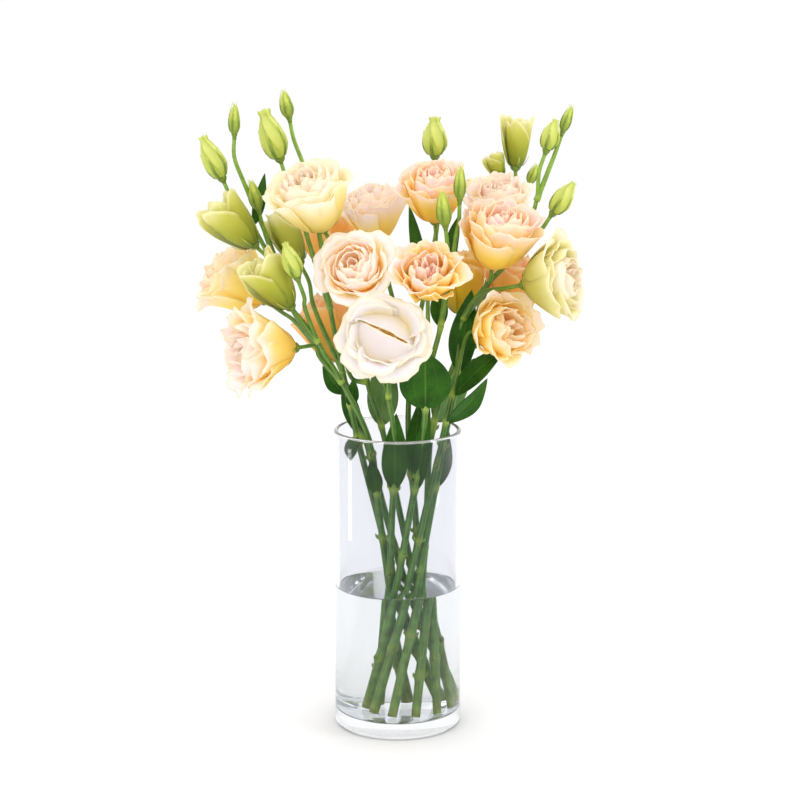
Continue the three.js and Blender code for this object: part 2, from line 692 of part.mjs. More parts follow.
// A leaf: an oval blade, folded a little along its midrib, that arches from its stem to its tip
function leafSolid(stemPoint, { tip, width, faces }) {
  const outward = V(tip[0] - stemPoint.x, tip[1] - stemPoint.y, 0).normalize();
  const root = stemPoint.clone().addScaledVector(outward, LEAF_SEAT);
  const along = V(...tip).sub(root);
  const length = along.length();
  along.normalize();
  const front = V(...faces);
  front.addScaledVector(along, -front.dot(along)).normalize();
  const across = along.clone().cross(front);
  const surface = (u, v) => {
    const bulge = Math.sin(Math.PI * THREE.MathUtils.clamp(v, 0, LEAF_TIP) ** LEAF_FULLNESS);
    const breadth = (width / 2) * mix(LEAF_ROOT_WIDTH, 1, bulge);
    const fold = LEAF_FOLD * breadth * Math.abs(u);
    const arch = LEAF_ARCH * length * Math.sin(Math.PI * v);
    return root
      .clone()
      .addScaledVector(along, v * length)
      .addScaledVector(across, u * breadth)
      .addScaledVector(front, fold + arch);
  };
  return blade(surface, 2, 3, LEAF_THICKNESS);
}

// The point of a curve at a height
function pointAtHeight(curve, height) {
  const points = curve.getSpacedPoints(200);
  return points.reduce((best, p) => (Math.abs(p.z - height) < Math.abs(best.z - height) ? p : best));
}

// Radius of a main stem at a share of its length: it thins slowly in its lower half and faster above
function mainTaper(share) {
  const middle = FORK_RADIUS + 0.3;
  return share < 0.5 ? mix(STEM_RADIUS, middle, 2 * share) : mix(middle, PEDICEL_RADIUS, 2 * share - 1);
}

function stemSolid(name) {
  const stem = STEMS[name];
  const main = mainCurve(stem);
  const sideTaper = (t) => mix(FORK_RADIUS, PEDICEL_RADIUS, t);
  const parts = [shootSolid(main, mainTaper, MAIN_SEGMENTS, stem.shoots[0].head)];
  for (const shoot of stem.shoots.slice(1)) {
    const points = [stem.trunk[shoot.from], ...shoot.via].map((p) => V(...p));
    const curve = smooth([...points, ...arrival(HEADS[shoot.head])]);
    parts.push(shootSolid(curve, sideTaper, SHOOT_SEGMENTS + shoot.via.length, shoot.head));
  }
  for (const { head } of stem.shoots.filter((shoot) => GREEN[shoot.head])) {
    const foot = V(...GREEN[head].at).addScaledVector(V(...GREEN[head].faces).normalize(), -BUD_SINK);
    parts.push(placed(spindle(GREEN[head], 5), headMatrix({ ...GREEN[head], at: foot.toArray() })));
  }
  for (const leaf of LEAVES.filter((one) => one.on === name)) {
    parts.push(leafSolid(pointAtHeight(main, leaf.height), leaf));
  }
  return fuse(parts);
}

function vaseSolid() {
  const inner = VASE_RADIUS - WALL;
  return turned(
    [
      [0, 0],
      [VASE_RADIUS - FOOT_BEVEL, 0],
      [VASE_RADIUS, FOOT_BEVEL],
      [VASE_RADIUS, VASE_HEIGHT - RIM_ROUND],
      [VASE_RADIUS - RIM_ROUND, VASE_HEIGHT],
      [inner + RIM_ROUND, VASE_HEIGHT],
      [inner, VASE_HEIGHT - RIM_ROUND],
      [inner, FLOOR + FLOOR_ROUND],
      [inner - FLOOR_ROUND, FLOOR],
      [0, FLOOR],
    ],
    VASE_SIDES,
  );
}

// The water fills the foot of the vase, with a plain hole for each stem
function waterSolid() {
  const inner = (VASE_RADIUS - WALL) * Math.cos(Math.PI / VASE_SIDES) - GAP;
  const bottom = FLOOR + GAP;
  const body = turned(
    [
      [0, bottom],
      [inner - FLOOR_ROUND, bottom],
      [inner, bottom + FLOOR_ROUND],
      [inner, WATER_LEVEL],
      [0, WATER_LEVEL],
    ],
    VASE_SIDES,
  );
  const holes = Object.values(STEMS).map(({ bearing }) =>
    rod(sheafPoint(bearing, 0), sheafPoint(bearing, WATER_LEVEL + HOLE_OVERRUN), HOLE_RADIUS, STEM_SIDES),
  );
  return largestBody(holes.reduce((water, hole) => water.subtract(hole), body));
}

function material(colour, roughness, extra = {}) {
  return new THREE.MeshStandardMaterial({ color: COLOURS[colour], roughness, metalness: 0, ...extra });
}

const materials = {
  glass: material("glass", 0.05, { transparent: true, opacity: 0.3 }),
  water: material("water", 0.02, { transparent: true, opacity: 0.35 }),
  stem: material("stem", 0.55),
  cream: material("cream", 0.6),
  apricot: material("apricot", 0.6),
  blush: material("blush", 0.6),
  lime: material("lime", 0.6),
};

const bunch = new THREE.Group();

function bloomColour(name) {
  if (CREAM_BLOOMS.includes(name)) return "cream";
  return BLUSH_BLOOMS.includes(name) ? "blush" : "apricot";
}

function addPiece(name, solid, paint) {
  const mesh = new THREE.Mesh(geometryOf(solid), materials[paint]);
  mesh.name = name;
  bunch.add(mesh);
}

addPiece("vase", vaseSolid(), "glass");
addPiece("water", waterSolid(), "water");
for (const name of Object.keys(STEMS)) addPiece(name, stemSolid(name), "stem");
for (const [name, head] of Object.entries(BLOOMS)) addPiece(name, bloomSolid(head), bloomColour(name));
for (const [name, head] of Object.entries(HALF_OPEN)) addPiece(name, halfOpenSolid(head), "lime");
for (const [name, head] of Object.entries(CLOSED)) {
  addPiece(name, placed(spindle(head, BUD_SIDES), headMatrix(head)), "lime");
}

export default bunch;
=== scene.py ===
import math
from functools import partial

import bpy
import numpy as np
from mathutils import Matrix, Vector


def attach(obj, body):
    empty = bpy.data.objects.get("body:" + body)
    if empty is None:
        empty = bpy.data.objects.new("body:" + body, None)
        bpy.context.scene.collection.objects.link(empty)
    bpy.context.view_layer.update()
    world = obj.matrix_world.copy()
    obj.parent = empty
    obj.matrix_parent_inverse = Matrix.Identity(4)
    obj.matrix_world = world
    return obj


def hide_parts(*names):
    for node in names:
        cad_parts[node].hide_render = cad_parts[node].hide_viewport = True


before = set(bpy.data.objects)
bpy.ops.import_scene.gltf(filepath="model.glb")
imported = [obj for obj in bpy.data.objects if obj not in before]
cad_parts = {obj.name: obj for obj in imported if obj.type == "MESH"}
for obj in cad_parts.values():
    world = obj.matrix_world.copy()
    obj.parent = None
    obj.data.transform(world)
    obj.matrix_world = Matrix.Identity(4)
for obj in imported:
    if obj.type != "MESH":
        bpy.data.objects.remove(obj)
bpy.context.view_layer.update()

mm = 0.001  # the tables below are in millimetres, the scene is in metres
print("frame loaded")


# Small helpers

def unit(v):
    v = np.asarray(v, float)
    return v / np.linalg.norm(v, axis=-1, keepdims=True)


def mix(a, b, t):
    return a + (b - a) * t


def smoothstep(low, high, x):
    t = np.clip((x - low) / (high - low), 0, 1)
    return t * t * (3 - 2 * t)


def nearest(values, value):
    return np.argmin(np.abs(values - value))


# rows of values as dictionaries. fields names the columns, and common fills those that a row leaves out
def table(fields, rows, **common):
    return [{**common, **dict(zip(fields.split(), row))} for row in rows]


def byName(rows):
    return {row["name"]: row for row in rows}


# coordinates that broadcast together, one point to a row
def stacked(*parts):
    return np.stack(np.broadcast_arrays(*parts), axis=-1).reshape(-1, len(parts))


# angles of a ring's points, as a row
def ringAngles(sides):
    return np.linspace(0, 2 * math.pi, sides, endpoint=False)[None, :]


# points at radius r and angle a about +Z and at height z
def aboutZ(r, a, z):
    return stacked(r * np.cos(a), r * np.sin(a), z)


# a head's own axes as columns. The third is its axis, and the others are +X and +Y as the shortest turn
# from upright leaves them, rolled by turn degrees about the axis
def headAxes(faces, turn=0):
    x, y, z = unit(faces)
    k = 1 / (1 + z)
    aim = np.array([[1 - k * x * x, -k * x * y, x], [-k * x * y, 1 - k * y * y, y], [-x, -y, z]])
    c, s = math.cos(math.radians(turn)), math.sin(math.radians(turn))
    return aim @ np.array([[c, -s, 0], [s, c, 0], [0, 0, 1]])


def toWorld(points, head, raised=0.0):
    axes = headAxes(head["faces"], head.get("turn", 0))
    return points @ axes.T + np.array(head["at"]) + axes[:, 2] * raised


def cubic(p, s):
    t = 1 - s
    return t**3 * p[0] + 3 * t**2 * s * p[1] + 3 * t * s**2 * p[2] + s**3 * p[3]


# a smooth path through points: each stretch is a Hermite curve whose tangents weigh the neighbouring
# stretches by the square root of their length
def smoothPath(points, perStretch=12):
    p = np.array(points, float)
    p = np.vstack([2 * p[0] - p[1], p, 2 * p[-1] - p[-2]])
    path = []
    for i in range(1, len(p) - 2):
        a, b, c, d = p[i - 1:i + 3]
        ta, tb, tc = (np.linalg.norm(q) ** 0.5 for q in (b - a, c - b, d - c))
        ma = tb * ((b - a) / ta - (c - a) / (ta + tb) + (c - b) / tb)
        mb = tb * ((c - b) / tb - (d - b) / (tb + tc) + (d - c) / tc)
        t = np.linspace(0, 1, perStretch, endpoint=False)[:, None]
        path.append(b * (2 * t**3 - 3 * t**2 + 1) + ma * (t**3 - 2 * t**2 + t)
                    + c * (3 * t**2 - 2 * t**3) + mb * (t**3 - t**2))
    return np.vstack(path + [p[-2:-1]])


# distance along a path at each of its points
def alongPath(path):
    return np.concatenate([[0], np.cumsum(np.linalg.norm(np.diff(path, axis=0), axis=1))])


# tangents and two cross directions that never twist against each other
def pathFrames(path):
    tangents = unit(np.gradient(path, axis=0))
    aside = [0.31, 0.95, 0.02]  # no path starts along this
    side = unit(np.cross(tangents[0], aside))
    sides = []
    for tangent in tangents:
        side = unit(side - tangent * np.dot(side, tangent))
        sides.append(side)
    sides = np.array(sides)
    return tangents, sides, np.cross(tangents, sides)


# quads of a grid of rows by columns of points, joined round where wrap is true
def gridQuads(rows, columns, wrap=False):
    r = np.arange(rows - 1)[:, None]
    c = np.arange(columns if wrap else columns - 1)[None, :]
    a = r * columns + c
    b = r * columns + (c + 1) % columns
    return np.stack([a, b, b + columns, a + columns], axis=-1).reshape(-1, 4)


# a stack of rings as a part of a mesh: points, quads, UVs, second UVs, and the fans of its flat ends
def ringPart(points, sides, uv=None, knotUv=None):
    rows = len(points) // sides
    ring = np.arange(sides)
    return points, gridQuads(rows, sides, wrap=True), uv, knotUv, [ring[::-1], ring + (rows - 1) * sides]


# joins parts into one
def joinParts(parts):
    points, quads, uvs, knotUvs, fans = zip(*parts)
    starts = np.cumsum([0] + [len(p) for p in points])
    quads = [q + start for q, start in zip(quads, starts)]
    fans = [fan + start for ends, start in zip(fans, starts) for fan in ends]
    return np.vstack(points), np.vstack(quads), np.vstack(uvs), np.vstack(knotUvs), fans


# a mesh object from vertices in mm, quads and end fans, with its materials and UV layers. slots holds the
# material of each quad, and the fans have the first one
def putMesh(name, vertices, quads, materials, uvLayers, fans=(), slots=None):
    mesh = bpy.data.meshes.new(name)
    corners = np.concatenate([quads.ravel(), *fans]).astype(np.int32)
    sizes = np.array([4] * len(quads) + [len(fan) for fan in fans], np.int32)
    mesh.vertices.add(len(vertices))
    mesh.vertices.foreach_set("co", (vertices * mm).astype(np.float32).ravel())
    mesh.loops.add(len(corners))
    mesh.loops.foreach_set("vertex_index", corners)
    mesh.polygons.add(len(sizes))
    mesh.polygons.foreach_set("loop_start", (np.cumsum(sizes) - sizes).astype(np.int32))
    mesh.polygons.foreach_set("loop_total", sizes)
    mesh.polygons.foreach_set("use_smooth", np.ones(len(sizes), bool))
    if slots is not None:
        mesh.polygons.foreach_set("material_index", np.append(slots, [0] * len(fans)).astype(np.int32))
    mesh.update(calc_edges=True)
    for layerName, uv in uvLayers.items():
        layer = mesh.uv_layers.new(name=layerName)
        layer.data.foreach_set("uv", uv.astype(np.float32)[corners].ravel())
    piece = bpy.data.objects.new(name, mesh)
    for material in materials:
        mesh.materials.append(material)
    bpy.context.scene.collection.objects.link(piece)
    return piece


# thickens a sheet by half to each side; backSlot counts on from the front's material to the back's
def addShell(piece, thickness, backSlot=0):
    shell = piece.modifiers.new("shell", "SOLIDIFY")
    shell.thickness = thickness * mm
    shell.offset = 0.0
    shell.use_even_offset = True
    shell.thickness_clamp = 1.0
    shell.material_offset = backSlot


def mount(piece, node):
    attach(piece, "root")
    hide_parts(node)


def mountParts(name, parts, material, node):
    points, quads, uv, knotUv, fans = joinParts(parts)
    piece = putMesh(name, points, quads, [material], {"stem": uv, "knot": knotUv}, fans)
    mount(piece, node)


# Materials. In a Mix, i6 and i7 are the colours and i0 the share of the second; a MapRange turns i1..i2 into
# i3..i4.

rgba = {"data_type": "RGBA"}
multiplyAdd = {"operation": "MULTIPLY_ADD"}
absolute = {"operation": "ABSOLUTE"}
larger = {"operation": "MAXIMUM"}
scaled = {"operation": "SCALE"}


def linear(hexColour):
    c = np.array([int(hexColour[i:i + 2], 16) for i in (1, 3, 5)]) / 255
    c = np.where(c <= 0.04045, c / 12.92, ((c + 0.055) / 1.055) ** 2.4)
    return (*c.tolist(), 1.0)


# fills sockets with constants or links. A socket goes by its name, with _ for a space, or by i and its
# number; a node stands for its first output
def fill(node, **sockets):
    for name, value in sockets.items():
        socket = node.inputs[int(name[1:]) if name[1:].isdigit() else name.replace("_", " ")]
        if isinstance(value, bpy.types.Node):
            value = value.outputs[0]
        if isinstance(value, bpy.types.NodeSocket):
            node.id_data.links.new(value, socket)
        else:
            socket.default_value = value
    return node


# adds a node, its kind without ShaderNode before it, with its settings and sockets
def addNode(tree, kind, settings=None, **sockets):
    node = tree.nodes.new("ShaderNode" + kind)
    for key, value in (settings or {}).items():
        setattr(node, key, value)
    return fill(node, **sockets)


# a new material, add for its nodes, and its shader
def newMaterial(name):
    material = bpy.data.materials.new(name)
    material.use_nodes = True
    material.node_tree.nodes.clear()
    add = partial(addNode, material.node_tree)
    shader = add("BsdfPrincipled")
    add("OutputMaterial", {"name": "surface"}, Surface=shader)
    return material, add, shader


# a UV layer, whole and in parts
def readLayer(add, layerName):
    uv = add("UVMap", {"uv_map": layerName})
    return uv, add("SeparateXYZ", i0=uv).outputs


# the place on the object in metres, and noise of so many features to the metre there
def placeNoise(add, scale, detail):
    place = add("TexCoord").outputs["Object"]
    return place, add("TexNoise", Vector=place, Scale=scale, Detail=detail)


# lets a share of the light through a thin blade, in the blade's own colour or a paler one
def letThrough(add, shader, colour, bump, share, paler=0.0):
    thinned = add("Mix", rgba, i0=paler, i6=colour, i7=linear("#ffffff"))
    glow = add("BsdfTranslucent", Color=thinned.outputs[2], Normal=bump)
    mixed = add("MixShader", i0=share, i1=shader, i2=glow)
    fill(shader.id_data.nodes["surface"], Surface=mixed)


# colours the share that comes in by stops of position and colour
def addRamp(add, share, stops):
    node = add("ValToRGB", i0=share)
    ramp = node.color_ramp
    while len(ramp.elements) > 1:
        ramp.elements.remove(ramp.elements[-1])
    ramp.elements[0].position, ramp.elements[0].color = stops[0][0], linear(stops[0][1])
    for position, colour in stops[1:]:
        ramp.elements.new(position).color = linear(colour)
    return node


# Petal of a double lisianthus: thin, soft and matt, with a silky bloom. Light comes through it, fine veins
# run from its foot to its lip, and its colour runs from a green-gold foot to a blushed margin. Its lip
# carries a painted cream highlight.
petalLook = {
    "roughness": 0.6,
    "sheen": 0.15,
    "veinBump": 0.2,
    "veinDepth": 0.4 * mm,
    "through": 0.52,
    "paleGlow": 0.5,
    "cloudShift": 0.22,  # how far clouds, veins and each petal's own draw move the colours along the stops
    "veinShift": 0.16,
    "ownShift": 0.16,
    "stops": (0.22, 0.52, 0.78, 0.97),  # of foot, body, upper and margin
    "heartShare": 0.8,
    # the next two: a painted cream highlight along the last tenth of each petal, at its lip, and its colour
    "lipHighlightShare": 0.65,
    "rim": "#fff6cc",
}

# paint slots, and the colours at the foot, in the body, above it, at the margin and in the heart
petalKinds = byName(table("name slot foot body upper margin heart", [
    ("creamPetal", "petal_cream", "#ecda48", "#faee98", "#fdf9e0", "#fdf5f0", "#fff0ea"),
    ("ivoryPetal", "petal_cream", "#fff07a", "#faf2c8", "#f4f0ef", "#f4eff3", "#fff29a"),
    ("rosePetal", "petal_blush", "#ffe274", "#fff6c4", "#fff9fa", "#fff7fb", "#fff6ee"),
    ("blushPetal", "petal_blush", "#fee04c", "#fff08a", "#fef6ee", "#fcf1f6", "#fff2f4"),
    ("apricotPetal", "petal_apricot", "#fcd838", "#fde858", "#fdeebc", "#fbe4ea", "#ffeaee"),
    ("peachPetal", "petal_apricot", "#fee04c", "#fff284", "#fff5c6", "#fdefea", "#fff2e2"),
    ("limeIvoryPetal", "petal_cream", "#c8c040", "#e0d86c", "#f3efb4", "#fbf4e8", "#fdece8"),
    # amber and lime amber: deeper copies of the apricot paint for the blooms at the back of the bunch,
    # partly their own colour and partly painted shade
    ("amberPetal", "petal_apricot", "#e8b230", "#f9ca4e", "#fcd276", "#fdcd98", "#fbc698"),
    ("limeAmberPetal", "petal_apricot", "#d0b61c", "#e9c822", "#f3d034", "#f9cc6a", "#f9c66c"),
    ("budPetal", "bud_petal", "#9ca92e", "#c5c93e", "#dbda60", "#eeebac", "#e4e080"),
]))


def petalMaterial(kind):
    look = petalLook
    material, add, shader = newMaterial(kind["name"])
    uv, across = readLayer(add, "petal")
    _, depth = readLayer(add, "whorl")
    _, own = readLayer(add, "own")
    # veins 0.6 mm apart on a petal about 40 mm wide
    stretched = add("Mapping", Vector=uv, Scale=(34.0, 2.2, 1.0))
    veins = add("TexNoise", Vector=stretched, Scale=2.0, Detail=3.0)
    # cloudy patches about 12 mm wide
    _, clouds = placeNoise(add, 80.0, 2.0)
    middle = -0.5 * (look["cloudShift"] + look["ownShift"])
    shift = add("Math", multiplyAdd, i0=clouds, i1=look["cloudShift"], i2=middle)
    streak = add("Math", multiplyAdd, i0=veins, i1=look["veinShift"], i2=-0.5 * look["veinShift"])
    moved = add("Math", i0=across[1], i1=shift)
    moved = add("Math", i0=moved, i1=streak)
    moved = add("Math", multiplyAdd, i0=own[0], i1=look["ownShift"], i2=moved)
    stops = zip(look["stops"], (kind["foot"], kind["body"], kind["upper"], kind["margin"]))
    ground = addRamp(add, moved, list(stops))
    inner = add("MapRange", Value=depth[0], i1=0.3, i2=0.85, i3=0.0, i4=look["heartShare"])
    warmed = add("Mix", rgba, i0=inner, i6=ground, i7=linear(kind["heart"]))
    # painted highlight: over the last tenth of the petal the colour turns towards a cream at its lip
    lip = add("MapRange", Value=depth[1], i1=0.9, i2=1.0, i3=0.0, i4=look["lipHighlightShare"])
    lipHighlighted = add("Mix", rgba, i0=lip, i6=warmed.outputs[2], i7=linear(look["rim"]))
    shade = add("MapRange", Value=veins, i3=0.98, i4=1.03)
    tinted = add("VectorMath", scaled, i0=lipHighlighted.outputs[2], Scale=shade)
    bump = add("Bump", Strength=look["veinBump"], Distance=look["veinDepth"], Height=veins)
    fill(shader, Base_Color=tinted, Normal=bump, Roughness=look["roughness"], IOR=1.4,
         Sheen_Weight=look["sheen"], Sheen_Roughness=0.5)
    letThrough(add, shader, tinted, bump, look["through"], look["paleGlow"])
    return material


# Lisianthus stem: smooth waxy green skin with fine ribs, palest at the cut foot and the swollen nodes,
# yellower up in the pedicels, and darker from inside the vase to a little above its mouth, which is painted
# shade where the stems crowd
stemLook = {
    # byHeight is deepest at 0.46..0.58 of top, round the vase's mouth: painted shade among the crowded stems
    "byHeight": [(0.03, "#cbe070"), (0.05, "#88b252"), (0.22, "#62964a"), (0.46, "#3d6e2c"),
                 (0.58, "#406618"), (0.72, "#547a20"), (0.84, "#668c28"), (1.0, "#82a438")],
    "top": 460 * mm,  # height at the end of byHeight
    # ridge: paler stripes along the stem's four ridges, partly their own colour and partly a painted
    # highlight
    "ridge": "#a0bb66",
    "knot": "#adc64e",
}


def stemMaterial():
    material, add, shader = newMaterial("waxyStem")
    uv, _ = readLayer(add, "stem")
    _, knot = readLayer(add, "knot")
    place, mottle = placeNoise(add, 160.0, 3.0)
    spot = add("SeparateXYZ", i0=place)
    height = add("MapRange", Value=spot.outputs[2], i1=0.0, i2=stemLook["top"])
    byHeight = addRamp(add, height, stemLook["byHeight"])
    # ribs 0.8 mm apart round a stem 20 mm round
    ribs = add("Mapping", Vector=uv, Scale=(24.0, 0.06, 1.0))
    ribNoise = add("TexNoise", Vector=ribs, Scale=1.0, Detail=2.0)
    both = add("Math", i0=ribNoise, i1=mottle)
    shade = add("MapRange", Value=both, i1=0.7, i2=1.3, i3=0.6, i4=1.35)
    tinted = add("VectorMath", scaled, i0=byHeight, Scale=shade)
    # painted highlight: the four ridges are striped paler, partly their own colour
    ridge = add("MapRange", Value=knot[1], i1=0.4, i2=1.0, i3=0.0, i4=0.3)
    ridgeHighlighted = add("Mix", rgba, i0=ridge, i6=tinted, i7=linear(stemLook["ridge"]))
    withKnots = add("Mix", rgba, i0=knot[0], i6=ridgeHighlighted.outputs[2], i7=linear(stemLook["knot"]))
    bump = add("Bump", Strength=0.3, Distance=0.4 * mm, Height=ribNoise)
    fill(shader, Base_Color=withKnots.outputs[2], Normal=bump, Roughness=0.42, Specular_IOR_Level=0.35,
         Subsurface_Weight=0.15, Subsurface_Radius=(0.6, 1.0, 0.3), Subsurface_Scale=1.0 * mm)
    return material


# Lisianthus leaf: waxy deep green upper face with a paler midrib and side veins, and a duller, paler back
leafLooks = {
    "leafFront": dict(deep="#1b4a0a", pale="#336910", vein="#769a40", roughness=0.48),
    "leafBack": dict(deep="#547f3c", pale="#74995a", vein="#93b078", roughness=0.55),
}
leafOptics = {"shine": 0.17, "through": 0.22, "sideVeinAt": 0.45, "veinDepth": 0.5 * mm}


def leafMaterial(name, look):
    material, add, shader = newMaterial(name)
    _, part = readLayer(add, "leaf")
    place, clouds = placeNoise(add, 70.0, 3.0)
    ground = addRamp(add, clouds, [(0.3, look["deep"]), (0.72, look["pale"])])
    # the midrib lies at u = 0 and a side vein to each side of it; the midrib is about 0.6 mm wide
    sideways = add("Math", absolute, i0=part[0])
    offSide = add("Math", {"operation": "SUBTRACT"}, i0=sideways, i1=leafOptics["sideVeinAt"])
    offSide = add("Math", absolute, i0=offSide)
    sideVein = add("MapRange", Value=offSide, i1=0.0, i2=0.04, i3=0.14, i4=0.0)
    midrib = add("MapRange", Value=sideways, i1=0.0, i2=0.06, i3=0.45, i4=0.0)
    ribs = add("Math", larger, i0=midrib, i1=sideVein)
    net = add("TexVoronoi", {"feature": "DISTANCE_TO_EDGE"}, Vector=place, Scale=420.0)
    netLine = add("MapRange", Value=net, i1=0.0, i2=0.12, i3=0.12, i4=0.0)
    allVeins = add("Math", larger, i0=ribs, i1=netLine)
    coloured = add("Mix", rgba, i0=allVeins, i6=ground, i7=linear(look["vein"])).outputs[2]
    bump = add("Bump", {"invert": True}, Strength=0.35, Distance=leafOptics["veinDepth"], Height=allVeins)
    fill(shader, Base_Color=coloured, Normal=bump, Roughness=look["roughness"],
         Specular_IOR_Level=leafOptics["shine"])
    letThrough(add, shader, coloured, bump, leafOptics["through"])
    return material


# Calyx and small bud: soft fresh green, paler towards the tips. Closed corolla: petals rolled into a spiral,
# lime yellow with greener grooves between them.
budLooks = {
    "freshCalyx": dict(
        byHeight=[(0.0, "#72902a"), (0.45, "#647c22"), (0.85, "#96a636"), (1.0, "#bac450")],
        grain=260.0, shift=0.35, glow=0.12, glowRadius=(0.8, 1.0, 0.3), glowScale=0.8 * mm),
    "rolledBud": dict(
        byHeight=[(0.1, "#9eb040"), (0.5, "#c2c654"), (0.9, "#d9d778"), (1.0, "#d0d06c")], groove="#9db146",
        grain=150.0, shift=0.3, glow=0.25, glowRadius=(0.9, 1.0, 0.4), glowScale=1.5 * mm),
}


def budMaterial(name, look):
    material, add, shader = newMaterial(name)
    _, part = readLayer(add, "stem")
    _, ridge = readLayer(add, "knot")
    _, grain = placeNoise(add, look["grain"], 3.0)
    moved = add("Math", multiplyAdd, i0=grain, i1=look["shift"], i2=part[1])
    colour = addRamp(add, moved, look["byHeight"]).outputs[0]
    if "groove" in look:
        colour = add("Mix", rgba, i0=ridge[0], i6=linear(look["groove"]), i7=colour).outputs[2]
    bump = add("Bump", Strength=0.2, Distance=0.3 * mm, Height=grain)
    fill(shader, Base_Color=colour, Normal=bump, Roughness=0.5, Subsurface_Weight=look["glow"],
         Subsurface_Radius=look["glowRadius"], Subsurface_Scale=look["glowScale"])
    return material


# Soda-lime glass, blown in a mould: clear, with a trace of grey and hardly any waviness. It looks clearer
# where the water wets it. Its rim is a painted highlight: it reflects fully, and a quarter of it is matt
# white
# instead of clear. Fresh water: clear, with hardly any colour.
clearLooks = table("name tint reflects clearness ior waves bump", [
    ("clearGlass", "#eeeff3", 0.25, 1.0, 1.517, 14.0, 0.06),
    ("wetGlass", "#f3f4f6", 0.25, 1.0, 1.517, 14.0, 0.06),
    # the rim: fully reflecting, with a quarter of it matt white instead of clear, as a painted highlight
    ("polishedRim", "#fdfdff", 1.0, 0.74, 1.517, 14.0, 0.06),
    ("freshWater", "#fbfcfc", 1.0, 1.0, 1.333, 30.0, 0.03),
])


def clearMaterial(look):
    material, add, shader = newMaterial(look["name"])
    _, wave = placeNoise(add, look["waves"], 1.0)
    bump = add("Bump", Strength=look["bump"], Distance=1.0 * mm, Height=wave)
    fill(shader, Base_Color=linear(look["tint"]), Normal=bump, Roughness=0.0, IOR=look["ior"],
         Transmission_Weight=look["clearness"], Specular_Tint=(*[look["reflects"]] * 3, 1.0))
    return material


petalMaterials = {name: petalMaterial(kind) for name, kind in petalKinds.items()}
stemGreen = stemMaterial()
leafFaces = [leafMaterial(name, look) for name, look in leafLooks.items()]
calyxGreen, budLime = (budMaterial(name, look) for name, look in budLooks.items())
clearGlass, wetGlass, polishedRim, freshWater = map(clearMaterial, clearLooks)
print("materials made")


# The heads. at is the foot of the corolla and faces the way that it opens; radius and height are the
# corolla's, flare runs from an upright cup at 0 to a wide open flower at 1, and turn rolls the petals about
# the axis. ruffle scales the lips' waves, and mouth is a closed bud's open end, as a share of its radius.

blooms = byName(table("name at faces radius height flare turn ruffle petals lip", [
    ("bloom_01", (-56, -20, 400), (-0.3, -0.42, 0.86), 31, 50, 0.25, 20, 1.5, "creamPetal"),
    ("bloom_02", (-14, 58, 381), (-0.18, -0.2, 0.95), 27, 43, 0.35, 50, 1.6, "blushPetal"),
    ("bloom_03", (29, 12, 402), (-0.05, -0.4, 0.92), 27, 45, 0.35, 5, 1.4, "apricotPetal"),
    ("bloom_04", (82, 62, 388), (-0.05, -0.4, 0.9), 27, 44, 0.3, 35, 1.5, "blushPetal"),
    ("bloom_05", (73, -14, 371), (0.14, -0.42, 0.88), 31, 48, 0.2, 65, 1.2, "apricotPetal"),
    ("bloom_06", (96, -34, 359), (0.86, -0.38, 0.22), 33, 42, 0.4, 10, 1, "limeIvoryPetal"),
    ("bloom_07", (65, -10, 319), (0.55, -0.76, 0.22), 31, 46, 0.45, 40, 1.6, "peachPetal", "pointed"),
    ("bloom_08", (23, -48, 355), (0, -0.7, 0.68), 28, 40, 0.6, 25, 2.0, "apricotPetal", "pointed"),
    ("bloom_09", (-28, -27, 362), (-0.18, -0.84, 0.5), 30, 38, 0.55, 55, 1, "rosePetal"),
    ("bloom_10", (-8, -67, 315), (-0.06, -0.84, 0.54), 33, 38, 0.85, -30, 0.8, "ivoryPetal"),
    ("bloom_11", (-78, -37, 311), (-0.86, -0.42, 0.02), 37, 54, 0.75, 45, 1.9, "blushPetal", "pointed"),
    ("bloom_12", (-106, 52, 333), (-0.7, -0.05, 0.5), 33, 50, 0.4, 30, 1.8, "peachPetal"),
    ("bloom_13", (-43, 50, 285), (-0.42, 0.2, 0.86), 25, 52, 0.1, 0, 1.2, "amberPetal"),
    ("bloom_14", (52, 45, 323), (-0.05, 0.2, 0.95), 22, 48, 0.05, 20, 1, "limeAmberPetal"),
    ("bloom_15", (-50, 84, 352), (-0.25, 0.2, 0.95), 25, 46, 0.15, 60, 1, "amberPetal"),
    ("bloom_16", (90, 24, 322), (0.1, 0.1, 1), 24, 46, 0.1, 45, 1, "amberPetal"),
], lip="round"))
halfOpenBuds = byName(table("name at faces radius height flare turn", [
    ("bud_01", (-110, -8, 386), (-0.68, -0.1, 0.7), 19, 50, 0.1, 15),
    ("bud_02", (-77, 30, 367), (-0.42, 0, 0.9), 14, 48, 0, 40),
    ("bud_03", (-81, -44, 344), (-0.58, -0.18, 0.78), 18, 51, 0.1, 0),
    ("bud_04", (95, 88, 436), (0.02, 0, 1), 13, 42, 0, 30),
    ("bud_05", (82, 84, 429), (-0.33, 0, 0.9), 8, 21, 0.1, 10),
], ruffle=1, petals="budPetal", lip="pointed"))
closedBuds = byName(table("name at faces radius height mouth", [
    ("bud_06", (-75, -61, 369), (-0.3, -0.18, 0.92), 7, 28, 0.3),
    ("bud_07", (-91, 15, 450), (-0.3, -0.07, 0.94), 10, 39, 0.42),
    ("bud_08", (-135, 5, 436), (-0.4, -0.08, 0.9), 8.5, 35, 0.34),
    ("bud_09", (29, 35, 450), (0, 0, 1), 9.5, 30, 0.4),
    ("bud_10", (114, 2, 458), (0.3, 0, 0.95), 7, 24, 0.3),
    ("bud_11", (119, -10, 411), (0.56, -0.05, 0.83), 7.5, 28, 0.25),
]))
